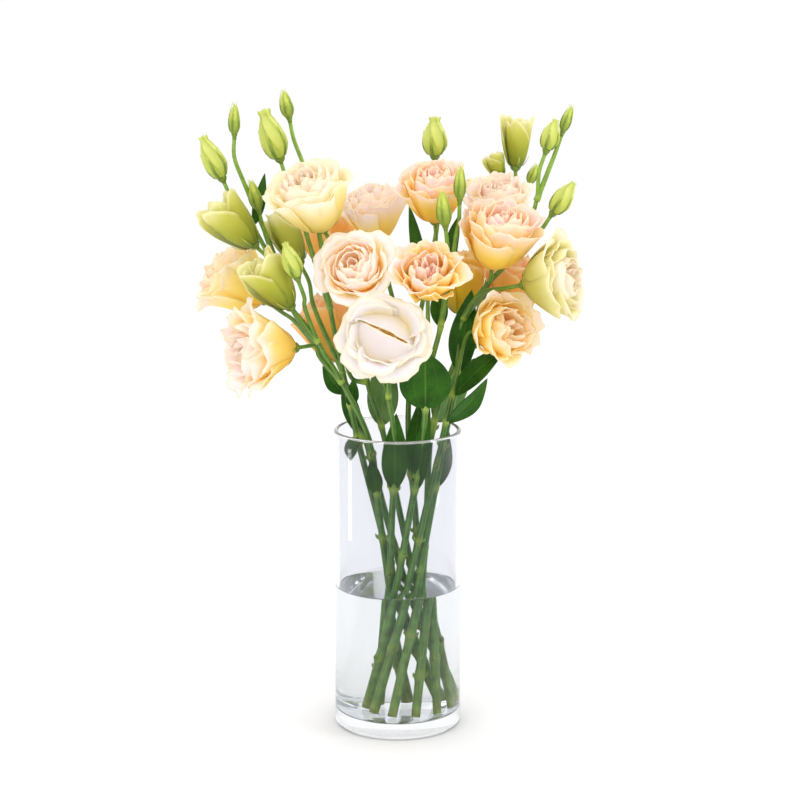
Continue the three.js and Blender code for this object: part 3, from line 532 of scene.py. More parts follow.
greenBuds = byName(table("name at faces radius height", [
    ("tip_01", (-125, 5, 470), (0.02, 0, 1), 4.3, 23),
    ("tip_02", (-84, 25, 481), (-0.2, 0, 0.97), 5, 21),
    ("tip_03", (-108, 14, 411), (-0.25, 0, 0.97), 5, 23),
    ("tip_04", (127, 8, 472), (0.32, 0, 0.95), 4, 20),
    ("tip_05", (36, -38, 405), (-0.1, 0, 1), 5.5, 26),
    ("tip_06", (47, -30, 424), (0.03, 0, 1), 4.5, 25),
    ("tip_07", (106, 80, 424), (0.36, 0, 0.93), 4, 16),
], mouth=0.1))
heads = {**blooms, **halfOpenBuds, **closedBuds, **greenBuds}


# Corolla: petals in whorls

petal = {
    "footRadius": 3.2,
    "footHeight": 0.4,
    "columns": 20,       # cells across a petal
    "rows": 18,          # cells from foot to lip
    "thickness": 0.42,
    "ruffle": 2.1,       # height of the waves of the lip of an outer petal
    "lean": 8.0,         # how far a petal may stray in azimuth, in degrees
    "overlap": 3.4,      # how far one edge stands out from the next petal
    "ownLength": (-0.04, 0.03),  # how far one petal may differ from its whorl
    "ownWidth": (-0.05, 0.04),
    "ownLift": (-0.05, 0.04),
    "ownRoll": (-0.6, 0.6),
    "footWidth": 0.9,    # share of its sector that a petal fills at its foot
    "cup": 0.05,         # depth of its hollow, as a share of its width
    "swirl": 0.5,        # how far the petals of the heart wind round it, in radians
    "startStep": 0.9,    # from one whorl to the next, in halves of a petal's sector
    "ruffleAt": 30,      # radius of the bloom that ruffle is meant for
    "notches": ((0.03, 2.9, 1), (0.014, 8.3, 2), (0.008, 21, 1)),
}

# how much the lip's corners are cut back, the power of u for it, and how far the lip rolls out
lips = {
    "round": dict(corner=0.2, power=2.8, roll=0.1),
    "pointed": dict(corner=0.36, power=1.4, roll=0.12),
}

# share of the corolla's radius, petals, how far a petal overlaps its neighbours, lift of its lip, how far it
# closes over the heart (0 stands open, 1 curls inwards), ruffle, what is left of the lip's breadth, and the
# whorl's own start
whorlFields = "share count spread lift closing ruffle narrow start"
fullWhorls = table(whorlFields, [
    (1.0, 5, 1.36, 0.93, 0.0, 1.0),
    (0.86, 5, 1.36, 0.99, 0.15, 1.0),
    (0.7, 4, 1.42, 1.03, 0.5, 0.9),
    (0.53, 4, 1.38, 1.06, 0.75, 1.0),
    (0.36, 3, 1.42, 1.06, 0.9, 1.0),
    (0.16, 3, 1.3, 1.03, 0.8, 0.6),
], narrow=1)
openWhorls = table(whorlFields, [
    (1.0, 5, 1.4, 0.9, 0.0, 1.0),
    (0.86, 5, 1.36, 1.04, 0.0, 0.9),
    (0.82, 3, 1.3, 1.08, 0.3, 1.2),
    (0.8, 2, 1.24, 1.06, 0.92, 0.8, 0.09, 0.1),
    (0.3, 3, 1.3, 0.76, 0.5, 0.6),
], narrow=1)
halfOpenWhorls = table(whorlFields, [
    (1.0, 4, 1.35, 1.0, 0.0, 0.45),
    (0.74, 4, 1.3, 0.96, 0.3, 0.4),
    (0.4, 3, 1.2, 0.9, 0.6, 0.3),
], narrow=1)


# radius and height of an open petal's midline at a share s of its length
def openLine(foot, width, height, flare, s):
    r = cubic([foot, mix(0.62, 0.42, flare) * width, mix(0.88, 0.66, flare) * width,
               mix(0.92, 1, flare) * width], s)
    z = cubic([petal["footHeight"], mix(0.02, 0.2, flare) * height, mix(0.62, 0.86, flare) * height,
               mix(1, 0.84, flare) * height], s)
    return r, z


# the same for a petal that curls in over the heart
def closingLine(foot, width, height, flare, s):
    r = cubic([foot, 0.85 * width, 1.25 * width, 0.66 * width], s)
    z = cubic([petal["footHeight"], 0.08 * height, 0.74 * height, height * mix(1, 0.88, flare)], s)
    return r, z


# sines in u, each with its height, turns and share of the petal's own phase
def sines(u, phase, waves):
    return sum(height * np.sin(turns * u + share * phase) for height, turns, share in waves)


# A whorl of petals. A petal's midline lies between the open and the closing line. u runs across from -1 to 1
# as an angle about the axis: one edge lies outside its neighbour and the other inside. The lip is rounded,
# notched in height by sines in u, waved in radius and height by more, and rolled outwards.
def petalWhorl(head, whorl, random):
    count, share, closing = whorl["count"], whorl["share"], whorl["closing"]
    radius, height, flare = head["radius"], head["height"], head["flare"]
    shape = lips[head["lip"]]

    def each(low, high):
        return random.uniform(low, high, (count, 1, 1))

    v = np.linspace(0, 1, petal["rows"] + 1)[None, :, None]
    u = np.linspace(-1, 1, petal["columns"] + 1)[None, None, :]
    sector = math.pi / count
    phase = each(0, 2 * math.pi)
    corner = shape["corner"] * np.abs(u) ** shape["power"]
    s = v * (1 - corner + sines(u, phase, petal["notches"]) * v**2) * (1 + each(*petal["ownLength"]))
    width = radius * share * (1 + each(*petal["ownWidth"]))
    foot = petal["footRadius"] * min(1, share + 0.25)
    openR, openZ = openLine(foot, width, height, flare, s)
    closingR, closingZ = closingLine(foot, width, height, flare, s)
    r = mix(openR, closingR, closing)
    z = mix(openZ, closingZ, closing) * whorl["lift"] * (1 + each(*petal["ownLift"]))
    roll = np.clip((s - 0.7) / 0.3, 0, 1.15) ** 2 * share * (1 - closing)
    r = r + roll * radius * shape["roll"] * (1 + each(*petal["ownRoll"]))
    z = z - roll * height * 0.06
    halfAngle = sector * mix(petal["footWidth"], whorl["spread"], smoothstep(0.12, 0.6, v))
    lip = smoothstep(0.4, 1.0, v)
    wave = petal["ruffle"] * whorl["ruffle"] * head["ruffle"] * (radius / petal["ruffleAt"]) * lip
    ripple = np.sin(4.1 * u + phase) * 0.65 + np.sin(8.2 * u + 1.7 * phase + 2.0 * v) * 0.35
    ripple = ripple + 0.5 * np.abs(u) ** 3 * np.sin(11 * u + phase)
    ripple = ripple + 0.25 * lip**3 * np.sin(15 * u + 3 * phase)
    cup = petal["cup"] * width * (1 - u * u) * np.sin(math.pi * v)
    overlap = petal["overlap"] * share * u * v
    sway = wave * ripple * 0.8
    reach = r + cup + overlap + sway
    z = z + wave * lip * (0.6 * np.cos(5.1 * u + 1.3 * phase) + 0.2 * lip**2 * np.cos(14 * u + 2 * phase))
    around = 2 * math.pi * (np.arange(count)[:, None, None] + 0.5) / count
    around = around + whorl["start"] * sector + np.radians(each(-petal["lean"], petal["lean"]))
    angle = around + u * halfAngle + (1 - share) * petal["swirl"] * v
    # a narrowed whorl draws together along Y as far as its waves let it, which leaves a slit along X
    narrowReach = mix(sway, reach, mix(1, whorl["narrow"], lip))
    points = stacked(reach * np.cos(angle), narrowReach * np.sin(angle), z)
    return points, stacked(u * 0.5 + 0.5, s, 1 - share, v, each(0, 1), 0)


# A corolla: its whorls one inside the other, in one mesh
def makeCorolla(name, head, whorls, seed):
    random = np.random.default_rng(seed)
    whorls = [{"start": order * petal["startStep"], **whorl} for order, whorl in enumerate(whorls)]
    points, layers = zip(*[petalWhorl(head, whorl, random) for whorl in whorls])
    vertices, layers = np.vstack(points), np.vstack(layers)
    rows, columns = petal["rows"] + 1, petal["columns"] + 1
    starts = np.arange(0, len(vertices), rows * columns)[:, None, None]
    quads = (gridQuads(rows, columns)[None] + starts).reshape(-1, 4)
    piece = putMesh(name + "_corolla", toWorld(vertices, head), quads, [petalMaterials[head["petals"]]],
                    {"petal": layers[:, :2], "whorl": layers[:, 2:4], "own": layers[:, 4:]})
    addShell(piece, petal["thickness"])
    mount(piece, name)


wideOpen = 0.8  # flare above which a bloom shows its open heart
for order, (name, head) in enumerate(blooms.items()):
    makeCorolla(name, head, openWhorls if head["flare"] > wideOpen else fullWhorls, 100 + order)
for order, (name, head) in enumerate(halfOpenBuds.items()):
    makeCorolla(name, head, halfOpenWhorls, 200 + order)
print("corollas made")


# Closed buds: five petals rolled up in a spiral. twist is the turns of its ridges over a bud's height, depth
# is how far they stand out, sunk is how deep it sits in its calyx, and colour is where it starts in its
# material's colours.

closedBud = {"rows": 60, "sides": 60, "twist": 1.1, "depth": 0.2, "sunk": 0, "colour": 0}
greenBud = {"rows": 40, "sides": 30, "twist": 0.9, "depth": 0.16, "sunk": 0.8, "colour": 0.4}

# radius and height, and how the end goes down into the mouth: share of the mouth's radius, and height
budOutline = np.array([[0.3, 0], [0.62, 0.05], [0.84, 0.15], [0.97, 0.27], [1, 0.38], [0.95, 0.5],
                       [0.83, 0.63], [0.66, 0.75], [0.47, 0.86], [0.28, 0.94], [0.0, 1.0]])
budInside = np.array([[0.8, 0.99], [0.45, 0.94], [0.0, 0.92]])


# radius of a bud at a share of its height, in shares of its own radius; its tip ends in a small open mouth
def budRadius(share, mouth):
    body = np.interp(share, budOutline[:, 1], budOutline[:, 0])
    flared = mouth * (0.9 + 0.3 * smoothstep(0.8, 1, share))
    return np.where(share > 0.6, np.maximum(body, flared), body)


# A bud: the outline's radius about its axis, swollen on one side of each of five spiral ridges. The petals'
# ends stand up a little round its mouth, and the last rows go down into it.
def spindle(head, shape):
    z = np.linspace(0, 1, shape["rows"])[:, None]
    r = budRadius(z, head["mouth"])
    r = np.vstack([[[0.0]], r, budInside[:, :1] * r[-1]])
    z = np.vstack([[[0.0]], z, budInside[:, 1:]])
    angle = ringAngles(shape["sides"])
    share = (angle * 5 / (2 * math.pi) + shape["twist"] * z) % 1.0
    ridge = smoothstep(0, 0.22, share) * (1 - 0.75 * share)
    reach = r * head["radius"] * (1 + shape["depth"] * (ridge - 0.45) * smoothstep(0.02, 0.3, z))
    lobes = 0.05 * head["height"] * smoothstep(0.9, 1, z) * (ridge - 0.5)
    points = toWorld(aboutZ(reach, angle, z * head["height"] + lobes), head, -shape["sunk"])
    uv = stacked(angle / (2 * math.pi), mix(shape["colour"], 1, z))
    return points, gridQuads(len(z), shape["sides"], wrap=True), uv, stacked(ridge, 0), []


for name, head in closedBuds.items():
    mountParts(name + "_corolla", [spindle(head, closedBud)], budLime, name)
print("closed buds made")


# Stems. bearing is where the stem leaves the vase's mouth, in degrees from +X; trunk holds its points above
# the mouth. The first shoot carries the trunk on, and each other one leaves it at the trunk point that it
# names, by way of its own points.

sheaf = {
    "waistHeight": 105,
    "waistRadius": 13.5,
    "slope": 0.25,
    "shiftFoot": 9,      # how far the sheaf stands to the right at its foot and at the vase's mouth
    "shiftMouth": 3,
    "vaseHeight": 240,
    "heights": (13.18, 60, 105, 170, 235),  # of the points in the vase, from the cut foot up
    "radius": 3.2,
    "middleRadius": 2.5,
    "forkRadius": 2.2,
    "pedicelRadius": 1.5,
    "calyxDepth": 3.3,
    "straightEnd": 14,   # length of a pedicel's straight end under its head
    "sides": 16,
    "shootSides": 12,
    "knots": ((34, 11, 4), (118, 13, 3), (190, 9, 5)),  # first place along the stem, step, count of steps
    "knotLength": 3.2,
    "knotSwell": 0.3,
    "knotPaleness": 0.55,
    "shootKnot": 2.0,    # place of a side shoot's one knot
}

stems = byName(table("name bearing trunk shoots", [
    ("stem_01", 262, [(-7, -40, 272)],
     [("bloom_09", None, [(-20, -25, 315)]), ("bloom_10", 0, [])]),
    ("stem_02", 298, [(24, -36, 290), (33, -26, 325)],
     [("tip_06", None, [(40, -26, 365), (45, -30, 400)]), ("bloom_08", 0, []),
      ("tip_05", 1, [(38, -24, 365)])]),
    ("stem_03", 334, [(46, -12, 285)], [("bloom_07", None, [])]),
    ("stem_04", 10, [(46, 6, 275), (51, 8, 325), (70, 2, 354), (93, 3, 380), (107, 5, 418)],
     [("bud_10", None, []), ("bloom_05", 1, []), ("bloom_06", 1, [(66, -14, 350)]),
      ("bud_11", 3, []), ("tip_04", 4, [])]),
    ("stem_05", 46, [(46, 42, 285), (66, 66, 325), (80, 92, 372)],
     [("bud_04", None, [(90, 98, 405)]), ("bloom_04", 1, []), ("bloom_14", 0, []),
      ("bloom_16", 0, [(72, 34, 305)]), ("bud_05", 2, []), ("tip_07", 2, [(100, 92, 400)])]),
    ("stem_06", 82, [(12, 42, 290), (20, 38, 335)],
     [("bloom_03", None, [(27, 24, 375)]), ("bloom_02", 0, [(-4, 52, 335)]),
      ("bud_09", 1, [(32, 52, 400)])]),
    ("stem_07", 118, [(-24, 44, 268)],
     [("bloom_15", None, [(-26, 74, 312)]), ("bloom_13", 0, [])]),
    ("stem_08", 154, [(-56, 24, 290), (-84, 14, 335)],
     [("bud_08", None, [(-100, 14, 374), (-121, 12, 412)]), ("bloom_12", 0, [(-82, 42, 318)]),
      ("bud_01", 1, [(-98, -4, 370)]), ("tip_01", 1, [(-98, 22, 378), (-118, 12, 430)]),
      ("tip_03", 1, [])]),
    ("stem_09", 226, [(-42, -32, 282), (-60, -38, 315)],
     [("bud_06", None, [(-70, -50, 345)]), ("bloom_11", 0, [(-60, -33, 304)]), ("bud_03", 1, [])]),
    ("stem_10", 190, [(-42, -8, 285), (-52, -3, 335)],
     [("bloom_01", None, [(-56, -10, 370)]), ("bud_02", 0, [(-66, 18, 335)]),
      ("bud_07", 1, [(-66, 14, 375), (-80, 20, 420)]), ("tip_02", 1, [(-60, 20, 385), (-72, 26, 440)])]),
]))


# a ruling of the twisted sheaf: a straight line that passes the waist at its radius and leans round the axis
def sheafPoint(bearing, z):
    rise = sheaf["slope"] * (sheaf["vaseHeight"] - sheaf["waistHeight"])
    theta = math.radians(bearing) - math.atan2(rise, sheaf["waistRadius"])
    run = sheaf["slope"] * (z - sheaf["waistHeight"])
    shift = mix(sheaf["shiftFoot"], sheaf["shiftMouth"], z / sheaf["vaseHeight"])
    x = shift + sheaf["waistRadius"] * math.cos(theta) - run * math.sin(theta)
    y = sheaf["waistRadius"] * math.sin(theta) + run * math.cos(theta)
    return np.array([x, y, z])


# a path through points and on to the foot of a head, along the head's axis at its end
def pathTo(headName, points):
    head = heads[headName]
    axis = unit(head["faces"])
    foot = np.array(head["at"]) - axis * sheaf["calyxDepth"]
    return smoothPath([*points, foot - axis * sheaf["straightEnd"], foot])


# A round tube along a path: each ring lies across the path, and the tube swells at its knots
def tube(path, radii, sides, knots):
    distance = alongPath(path)
    swell = sum(np.exp(-((distance - knot) / sheaf["knotLength"]) ** 2) for knot in knots)
    reach = (np.asarray(radii) * (1 + sheaf["knotSwell"] * swell))[:, None, None]
    _, side, over = pathFrames(path)
    angle = ringAngles(sides)
    c, s = np.cos(angle)[..., None], np.sin(angle)[..., None]
    rings = path[:, None, :] + reach * (side[:, None, :] * c + over[:, None, :] * s)
    uv = stacked(angle / (2 * math.pi), distance[:, None])
    ridge = 0.5 + 0.5 * np.cos(4 * angle)
    knotUv = stacked(np.minimum(swell, 1)[:, None] * sheaf["knotPaleness"], ridge)
    return ringPart(rings.reshape(-1, 3), sides, uv, knotUv)


# how far a stub runs out and up, its radii there, and how deep it sits in its stem
stub = {"line": ((0, 0), (2.0, 1.2), (2.8, 3.6)), "radii": (1.5, 1.0, 0.25), "seat": 0.8, "sides": 10}


# A pair of stubs where leaves were stripped off: short cones that stand out and up from a node of the stem
def stubs(path, distance, radius, turn):
    i = nearest(alongPath(path), distance)
    tangents, side, over = pathFrames(path)
    parts = []
    for azimuth in (turn, turn + math.pi):
        out = side[i] * math.cos(azimuth) + over[i] * math.sin(azimuth)
        root = path[i] + out * radius * stub["seat"]
        line = np.array([root + out * outward + tangents[i] * upward for outward, upward in stub["line"]])
        parts.append(tube(line, stub["radii"], stub["sides"], [0.0]))
    return parts


# Calyx: a ribbed cup under the corolla and five narrow sepals that lie along it

calyx = {
    "sepals": 5,
    "sepalRows": 14,
    "sepalSides": 8,
    "cupSides": 30,
    "cupRibs": 0.04,
    "cupV": 0.2,         # where the cup lies in the calyx's colours, which run up to the sepals' tips at 1
    "collar": 4.2,       # radius of the cup's rim under petals
    "sepalWidth": 1.5,   # half the width of a sepal under petals
    "mouth": 0.1,        # the mouth of the bud that sepals close over
    "bloomReach": 0.19,  # how far sepals cover their corolla, as a share of its length
    "halfOpenReach": 0.34,
    "closedReach": 0.66,
    "greenReach": 1.04,
}


def hasPetals(name):
    return name in blooms or name in halfOpenBuds


# radius and height of a sepal's midline at t from its collar to its tip, just outside the corolla or bud
def sepalLine(name, t):
    head = heads[name]
    radius, height = head["radius"], head["height"]
    if hasPetals(name):
        s = 0.03 + t * calyx["bloomReach" if name in blooms else "halfOpenReach"]
        r, z = openLine(petal["footRadius"], radius, height, head["flare"], s)
        bulge = 0.05 * radius * np.sin(math.pi * s) + 0.8 * petal["overlap"] * s
        return r + bulge + 0.4 + 0.5 * t, z
    share = t * calyx["greenReach" if name in greenBuds else "closedReach"]
    r = budRadius(np.minimum(share, 1), calyx["mouth"]) * radius * 0.98
    return r + 0.3 + 0.9 * t**5, share * height


# A sepal: a flattened tube along its midline, widest below its middle and drawn out to a point
def sepalParts(name):
    head = heads[name]
    sides = calyx["sepalSides"]
    t = np.linspace(0, 1, calyx["sepalRows"])[:, None]
    r, z = sepalLine(name, t)
    a = ringAngles(sides)
    widest = calyx["sepalWidth"] if hasPetals(name) else head["radius"] * 0.15
    wide = widest * (0.75 + 0.5 * np.sin(math.pi * t**0.8)) * (1 - t) ** 0.6 + 0.1
    radial = r + mix(0.5, 0.2, t) * np.cos(a)
    sideways = wide * np.sin(a)
    uv = stacked(a / (2 * math.pi), t)
    parts = []
    for i in range(calyx["sepals"]):
        azimuth = 2 * math.pi * (i + 0.5) / calyx["sepals"]
        x = radial * math.cos(azimuth) - sideways * math.sin(azimuth)
        y = radial * math.sin(azimuth) + sideways * math.cos(azimuth)
        parts.append(ringPart(toWorld(stacked(x, y, z), head), sides, uv, uv * 0))
    return parts


# The cup: a turned outline of radius and height with a shallow rib between each two sepals
def cupPart(name):
    head = heads[name]
    collar = calyx["collar"] if hasPetals(name) else head["radius"] * 0.3 + 0.9
    outline = np.array([[sheaf["pedicelRadius"], -4.6], [1.75, -3.6], [collar * 0.72, -2.6],
                        [collar * 0.96, -1.4], [collar + 0.15, -0.2], [collar - 0.3, 0.6],
                        [collar - 1.1, 0.5], [0.4, -0.1]])
    a = ringAngles(calyx["cupSides"])
    r = outline[:, :1] * (1 + calyx["cupRibs"] * np.cos(calyx["sepals"] * a))
    uv = stacked(a / (2 * math.pi) + 0 * r, calyx["cupV"])
    return ringPart(toWorld(aboutZ(r, a, outline[:, 1:]), head), calyx["cupSides"], uv, uv * 0)


# Leaves. Each one leaves the stem that it is on at a height, reaches to its tip and faces as given. More
# fullness sets its broadest part nearer to the tip, and less blunt makes its ends rounder.

leafShape = {
    "columns": 14,
    "rows": 26,
    "thickness": 0.55,
    "arch": 0.06,
    "fold": 0.22,
    "seat": 1.8,         # from the stem's middle to the leaf's foot
    "wave": 0.5,
    "phaseStep": 1.7,    # from one leaf's waves to the next one's
}

leaves = table("on height tip width faces fullness blunt", [
    ("stem_02", 262, (21, -44, 307), 38, (0, -1, 0.1), 1.1, 0.55),
    ("stem_02", 200, (25, -32, 263), 13, (-0.3, -1, 0)),
    ("stem_02", 372, (47, -2, 408), 11, (-0.5, -0.8, 0)),
    ("stem_03", 268, (86, -14, 309), 17, (-0.4, -0.8, 0.4)),
    ("stem_04", 285, (58, 12, 348), 21, (-0.3, -1, 0)),
    ("stem_03", 250, (69, -30, 286), 19, (0.7, -0.7, 0.2)),
    ("stem_02", 325, (31, -4, 350), 13, (0, -1, 0)),
    ("stem_06", 350, (9, 44, 411), 10, (0, -1, 0.1)),
    ("stem_01", 196, (-1, -37, 260), 19, (0, -1, 0)),
    ("stem_04", 195, (39, 9, 240), 15, (0.5, -0.8, 0)),
    ("stem_10", 262, (-34, -24, 285), 10, (0.2, -0.9, 0.4)),
    ("stem_10", 236, (-36, -14, 217), 14, (-0.6, -0.7, 0)),
    ("stem_09", 190, (-20, -30, 223), 12, (0, -1, 0)),
    ("stem_06", 200, (17, 18, 258), 16, (0, -1, 0)),
    ("stem_08", 232, (-43, 17, 281), 14, (-0.4, -0.9, 0)),
    ("stem_08", 262, (-59, 15, 287), 13, (-0.3, -0.9, 0.2)),
    ("stem_08", 397, (-103, 22, 438), 9, (0.2, -1, 0.1)),
    ("stem_05", 240, (62, 58, 285), 24, (0.3, 0.8, 0.5)),
    ("stem_07", 235, (-10, 66, 290), 24, (0, 1, 0.3)),
    ("stem_06", 262, (22, 74, 305), 22, (0, 1, 0.3)),
], fullness=0.8, blunt=0.9)


# A leaf: half its breadth at v along it is a power of a sine; it folds up from its midrib, arches forward
# and waves a little along its margin
def leafPart(stemPoint, leaf, phase):
    shape = leafShape
    tip = np.array(leaf["tip"], float)
    outward = unit([tip[0] - stemPoint[0], tip[1] - stemPoint[1], 0])
    root = stemPoint + outward * shape["seat"]
    length = np.linalg.norm(tip - root)
    along = (tip - root) / length
    front = np.array(leaf["faces"], float)
    front = unit(front - along * np.dot(front, along))
    across = np.cross(along, front)
    v = np.linspace(0, 1, shape["rows"] + 1)[:, None, None]
    u = np.linspace(-1, 1, shape["columns"] + 1)[None, :, None]
    bulge = np.sin(math.pi * v ** leaf["fullness"]) ** leaf["blunt"]
    breadth = leaf["width"] / 2 * (0.1 * (1 - v) + bulge * 0.98 + 0.012)
    fold = shape["fold"] * breadth * np.abs(u) ** 1.3
    arch = shape["arch"] * length * np.sin(math.pi * v)
    wave = shape["wave"] * u * u * np.sin(9 * v + phase + 1.5 * u) * np.sin(math.pi * v)
    points = root + along * v * length + across * u * breadth + front * (fold + arch + wave)
    uv = stacked(u[..., 0], v[..., 0])
    return points.reshape(-1, 3), gridQuads(shape["rows"] + 1, shape["columns"] + 1), uv, uv * 0, []


# The main tube of a stem with its knots and stubs, and a tube for each side shoot
def stemTubes(stem, main, leafHeights, order):
    length = alongPath(main)
    share = length / length[-1]
    radii = np.interp(share, (0, 0.5, 1), (sheaf["radius"], sheaf["middleRadius"], sheaf["pedicelRadius"]))
    bare = [first + step * (order % steps) for first, step, steps in sheaf["knots"]]
    leafy = [length[nearest(main[:, 2], height)] for height in leafHeights]
    tubes = [tube(main, radii, sheaf["sides"], bare + leafy)]
    for i, distance in enumerate(bare):
        tubes += stubs(main, distance, sheaf["radius"], order + 0.5 * math.pi * i)
    for headName, start, via in stem["shoots"][1:]:
        path = pathTo(headName, [stem["trunk"][start], *via])
        reach = alongPath(path)
        thin = mix(sheaf["forkRadius"], sheaf["pedicelRadius"], reach / reach[-1])
        tubes.append(tube(path, thin, sheaf["shootSides"], [sheaf["shootKnot"]]))
    return tubes


# Each stem is up to three pieces, which stand for its one node
for order, (name, stem) in enumerate(stems.items()):
    headName, _, via = stem["shoots"][0]
    low = [sheafPoint(stem["bearing"], z) for z in sheaf["heights"]]
    main = pathTo(headName, [*low, *stem["trunk"], *via])
    own = [(leaf, leafShape["phaseStep"] * i) for i, leaf in enumerate(leaves) if leaf["on"] == name]
    tubes = stemTubes(stem, main, [leaf["height"] for leaf, _ in own], order)
    carried = [shoot[0] for shoot in stem["shoots"]]
    calyces = [part for carry in carried for part in [cupPart(carry), *sepalParts(carry)]]
    calyces += [spindle(greenBuds[carry], greenBud) for carry in carried if carry in greenBuds]
    mountParts(name + "_shoots", tubes, stemGreen, name)
    mountParts(name + "_calyces", calyces, calyxGreen, name)
    if own:
        blades = [leafPart(main[nearest(main[:, 2], leaf["height"])], leaf, phase) for leaf, phase in own]
        points, quads, uv, _, _ = joinParts(blades)
        piece = putMesh(name + "_leaves", points, quads, leafFaces, {"leaf": uv})
        addShell(piece, leafShape["thickness"], backSlot=1)
        mount(piece, name)
print("stems made")


# Vase and water

vase = {
    "radius": 50,
    "height": 240,
    "wall": 3.5,
    "floor": 12,
    "bevel": 3,
    "bevelRound": 0.6,
    "fillet": 4,         # between the inner wall and the floor
    "flat": 20,          # radius of the flat middle of the foot and the floor
    "step": 0.4,         # to the next ring beside a rounding
    "sides": 160,
}
water = {"level": 113, "meniscus": 1.6, "falloff": 1.3, "intoGlass": 0.12}


# a profile of (radius, height) points turned about +Z, with flat ends
def turned(profile, sides):
    profile = np.array(profile, float)
    points, quads, _, _, fans = ringPart(aboutZ(profile[:, :1], ringAngles(sides), profile[:, 1:]), sides)
    return points, quads, fans


# points of an arc about a centre, between two directions in degrees
def rounded(centre, radius, start, end, steps):
    a = np.radians(np.linspace(start, end, steps))
    return [(centre[0] + radius * math.cos(t), centre[1] + radius * math.sin(t)) for t in a]


outer, inner = vase["radius"], vase["radius"] - vase["wall"]
top, floor, flat = vase["height"], vase["floor"], vase["flat"]
bevel, small, fillet, step = vase["bevel"], vase["bevelRound"], vase["fillet"], vase["step"]
lip = vase["wall"] / 2
level = water["level"]
# rings part way up keep the quads of the walls short
profile = [(flat, 0), (outer - bevel - 1, 0)]
profile += rounded((outer - bevel, small), small, -90, -45, 4)
profile += rounded((outer - small, bevel), small, -45, 0, 4)
profile += [(outer, z) for z in (4, 20, level, 180, top - lip - 8, top - lip - step)]
profile += rounded((outer - lip, top - lip), lip, 0, 180, 16)
profile += [(inner, z) for z in (top - lip - step, top - lip - 8, 180, level, 30, floor + fillet + 0.5)]
profile += rounded((inner - fillet, floor + fillet), fillet, 0, -90, 10)
profile += [(inner - fillet - 0.5, floor), (flat, floor)]
points, quads, fans = turned(profile, vase["sides"])
# the rim's faces take the painted highlight
atRim = points[quads, 2].min(axis=1) > top - lip - 0.1
wetted = points[quads, 2].max(axis=1) < level + 0.1
piece = putMesh("vase_cylinder", points, quads, [wetGlass, clearGlass, polishedRim], {}, fans,
                1 - wetted.astype(int) + atRim)
mount(piece, "vase")

into = water["intoGlass"]
crest = level + water["meniscus"]
fromWall = (0, 0.05, 0.2, 0.4, 0.65, 0.9, 1.2, 1.6, 2.1, 2.6, 3.3, 4, 5, 7)
profile = [(flat, floor - into), (inner - fillet - 0.5, floor - into)]
profile += rounded((inner - fillet, floor + fillet), fillet + into, -90, 0, 10)
profile += [(inner + into, z) for z in (floor + fillet + 0.5, 60, level - 1)]
profile += [(inner + into, crest - below) for below in (0.3, 0.02, 0)]
profile += [(inner - d, level + water["meniscus"] * math.exp(-d / water["falloff"])) for d in fromWall]
profile += [(flat, level)]
points, quads, fans = turned(profile, vase["sides"])
piece = putMesh("water_body", points, quads, [freshWater], {}, fans)
mount(piece, "water")
print("vase and water made")


# Stage: pale floor, soft light from all sides with a large soft key, and the camera

stage = {
    "floorHalf": 40.0,
    "airFilm": 0.2,      # between the glass foot and the floor, in millimetres
    "floorColours": ("#f0f0f0", "#f5f5f5"),
    "worldTop": "#ffffff",
    "worldSide": "#f8f8fa",
    "worldStrength": 1.12,
    "bounces": {"max_bounces": 48, "diffuse_bounces": 32, "glossy_bounces": 24, "transmission_bounces": 48},
}

for setting, count in stage["bounces"].items():
    setattr(bpy.context.scene.cycles, setting, count)  # light has to pass many petals and the glass floor

half, deep = stage["floorHalf"], -stage["airFilm"] * mm
floorMesh = bpy.data.meshes.new("floor")
floorMesh.from_pydata([(-half, -half, deep), (half, -half, deep), (half, half, deep), (-half, half, deep)],
                      [], [(0, 1, 2, 3)])
floorPiece = bpy.data.objects.new("floor", floorMesh)
bpy.context.scene.collection.objects.link(floorPiece)
# Matt white paper, hardly mottled
floorPaint, add, shader = newMaterial("matPaper")
_, fibre = placeNoise(add, 900.0, 2.0)
fill(shader, Base_Color=addRamp(add, fibre, list(zip((0.3, 0.7), stage["floorColours"]))), Roughness=0.9)
floorMesh.materials.append(floorPaint)

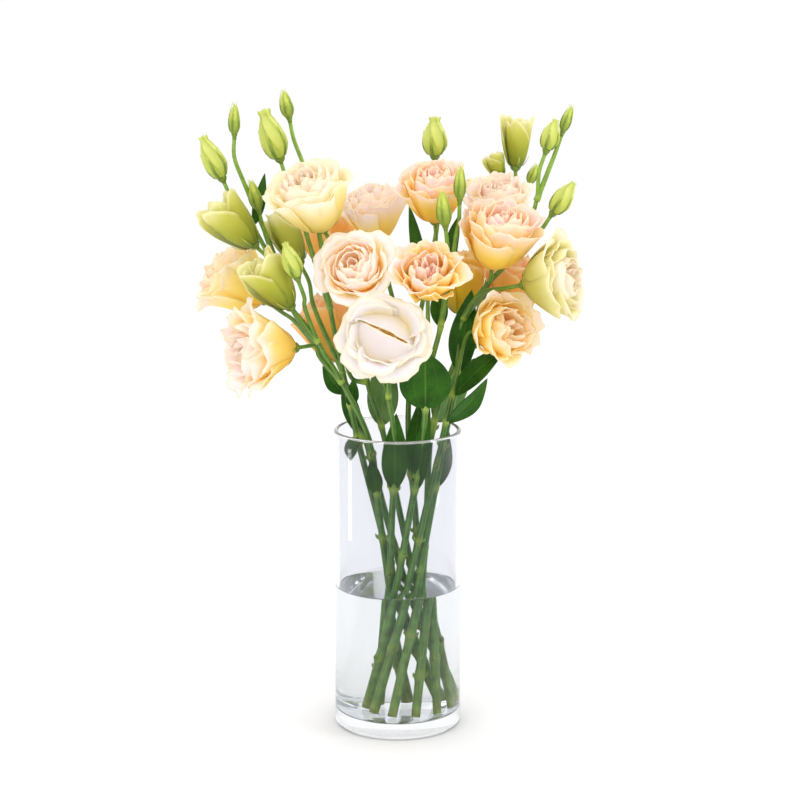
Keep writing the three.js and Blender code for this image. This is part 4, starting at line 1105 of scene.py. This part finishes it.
world = bpy.data.worlds.new("studio")
bpy.context.scene.world = world
world.use_nodes = True
world.node_tree.nodes.clear()
add = partial(addNode, world.node_tree)
direction = add("TexCoord").outputs["Generated"]
upward = add("SeparateXYZ", i0=direction).outputs[2]
sky = addRamp(add, upward, [(0.0, stage["worldSide"]), (0.55, stage["worldTop"])])
light = add("Background", Color=sky, Strength=stage["worldStrength"])
add("OutputWorld", Surface=light)

# place and size in metres, power in watts, colour
lights = {
    "keyBox": ((-1.1, -1.3, 1.5), (1.2, 1.2), 7.5, "#fffdf8"),
    "fillBox": ((1.5, -0.6, 0.9), (0.5, 1.4), 5.0, "#ffffff"),
    "topBox": ((0.0, 0.4, 1.7), (0.5, 0.3), 2.5, "#ffffff"),
    "stripBox": ((-0.45, 0.03, 0.09), (0.03, 0.09), 0.13, "#ffffff"),
    "frontBox": ((0.3, -1.9, 1.0), (1.6, 1.6), 8.0, "#ffffff"),
}
aimHeight = 0.3  # a soft box looks at the bunch's axis here, or level where it stands lower

for name, (place, size, power, colour) in lights.items():
    data = bpy.data.lights.new(name, "AREA")
    data.shape = "RECTANGLE"
    data.size, data.size_y = size
    data.energy = power
    data.color = linear(colour)[:3]
    lamp = bpy.data.objects.new(name, data)
    lamp.location = place
    aim = np.array([0, 0, min(place[2], aimHeight)]) - np.array(place)
    lamp.rotation_euler = Vector(aim).to_track_quat("-Z", "Y").to_euler()
    bpy.context.scene.collection.objects.link(lamp)

camera = {"place": (0.0019, -1.75, 0.6247), "pitch": 11.69, "lens": 102.8, "sensor": 36, "clip": (0.05, 200)}
cameraData = bpy.data.cameras.new("photoCamera")
cameraData.lens = camera["lens"]
cameraData.sensor_width = camera["sensor"]
cameraData.clip_start, cameraData.clip_end = camera["clip"]
cameraObject = bpy.data.objects.new("photoCamera", cameraData)
cameraObject.location = camera["place"]
cameraObject.rotation_euler = (math.radians(90 - camera["pitch"]), 0, 0)
bpy.context.scene.collection.objects.link(cameraObject)
bpy.context.scene.camera = cameraObject
bpy.context.scene.view_settings.view_transform = "Standard"

print("scene made")
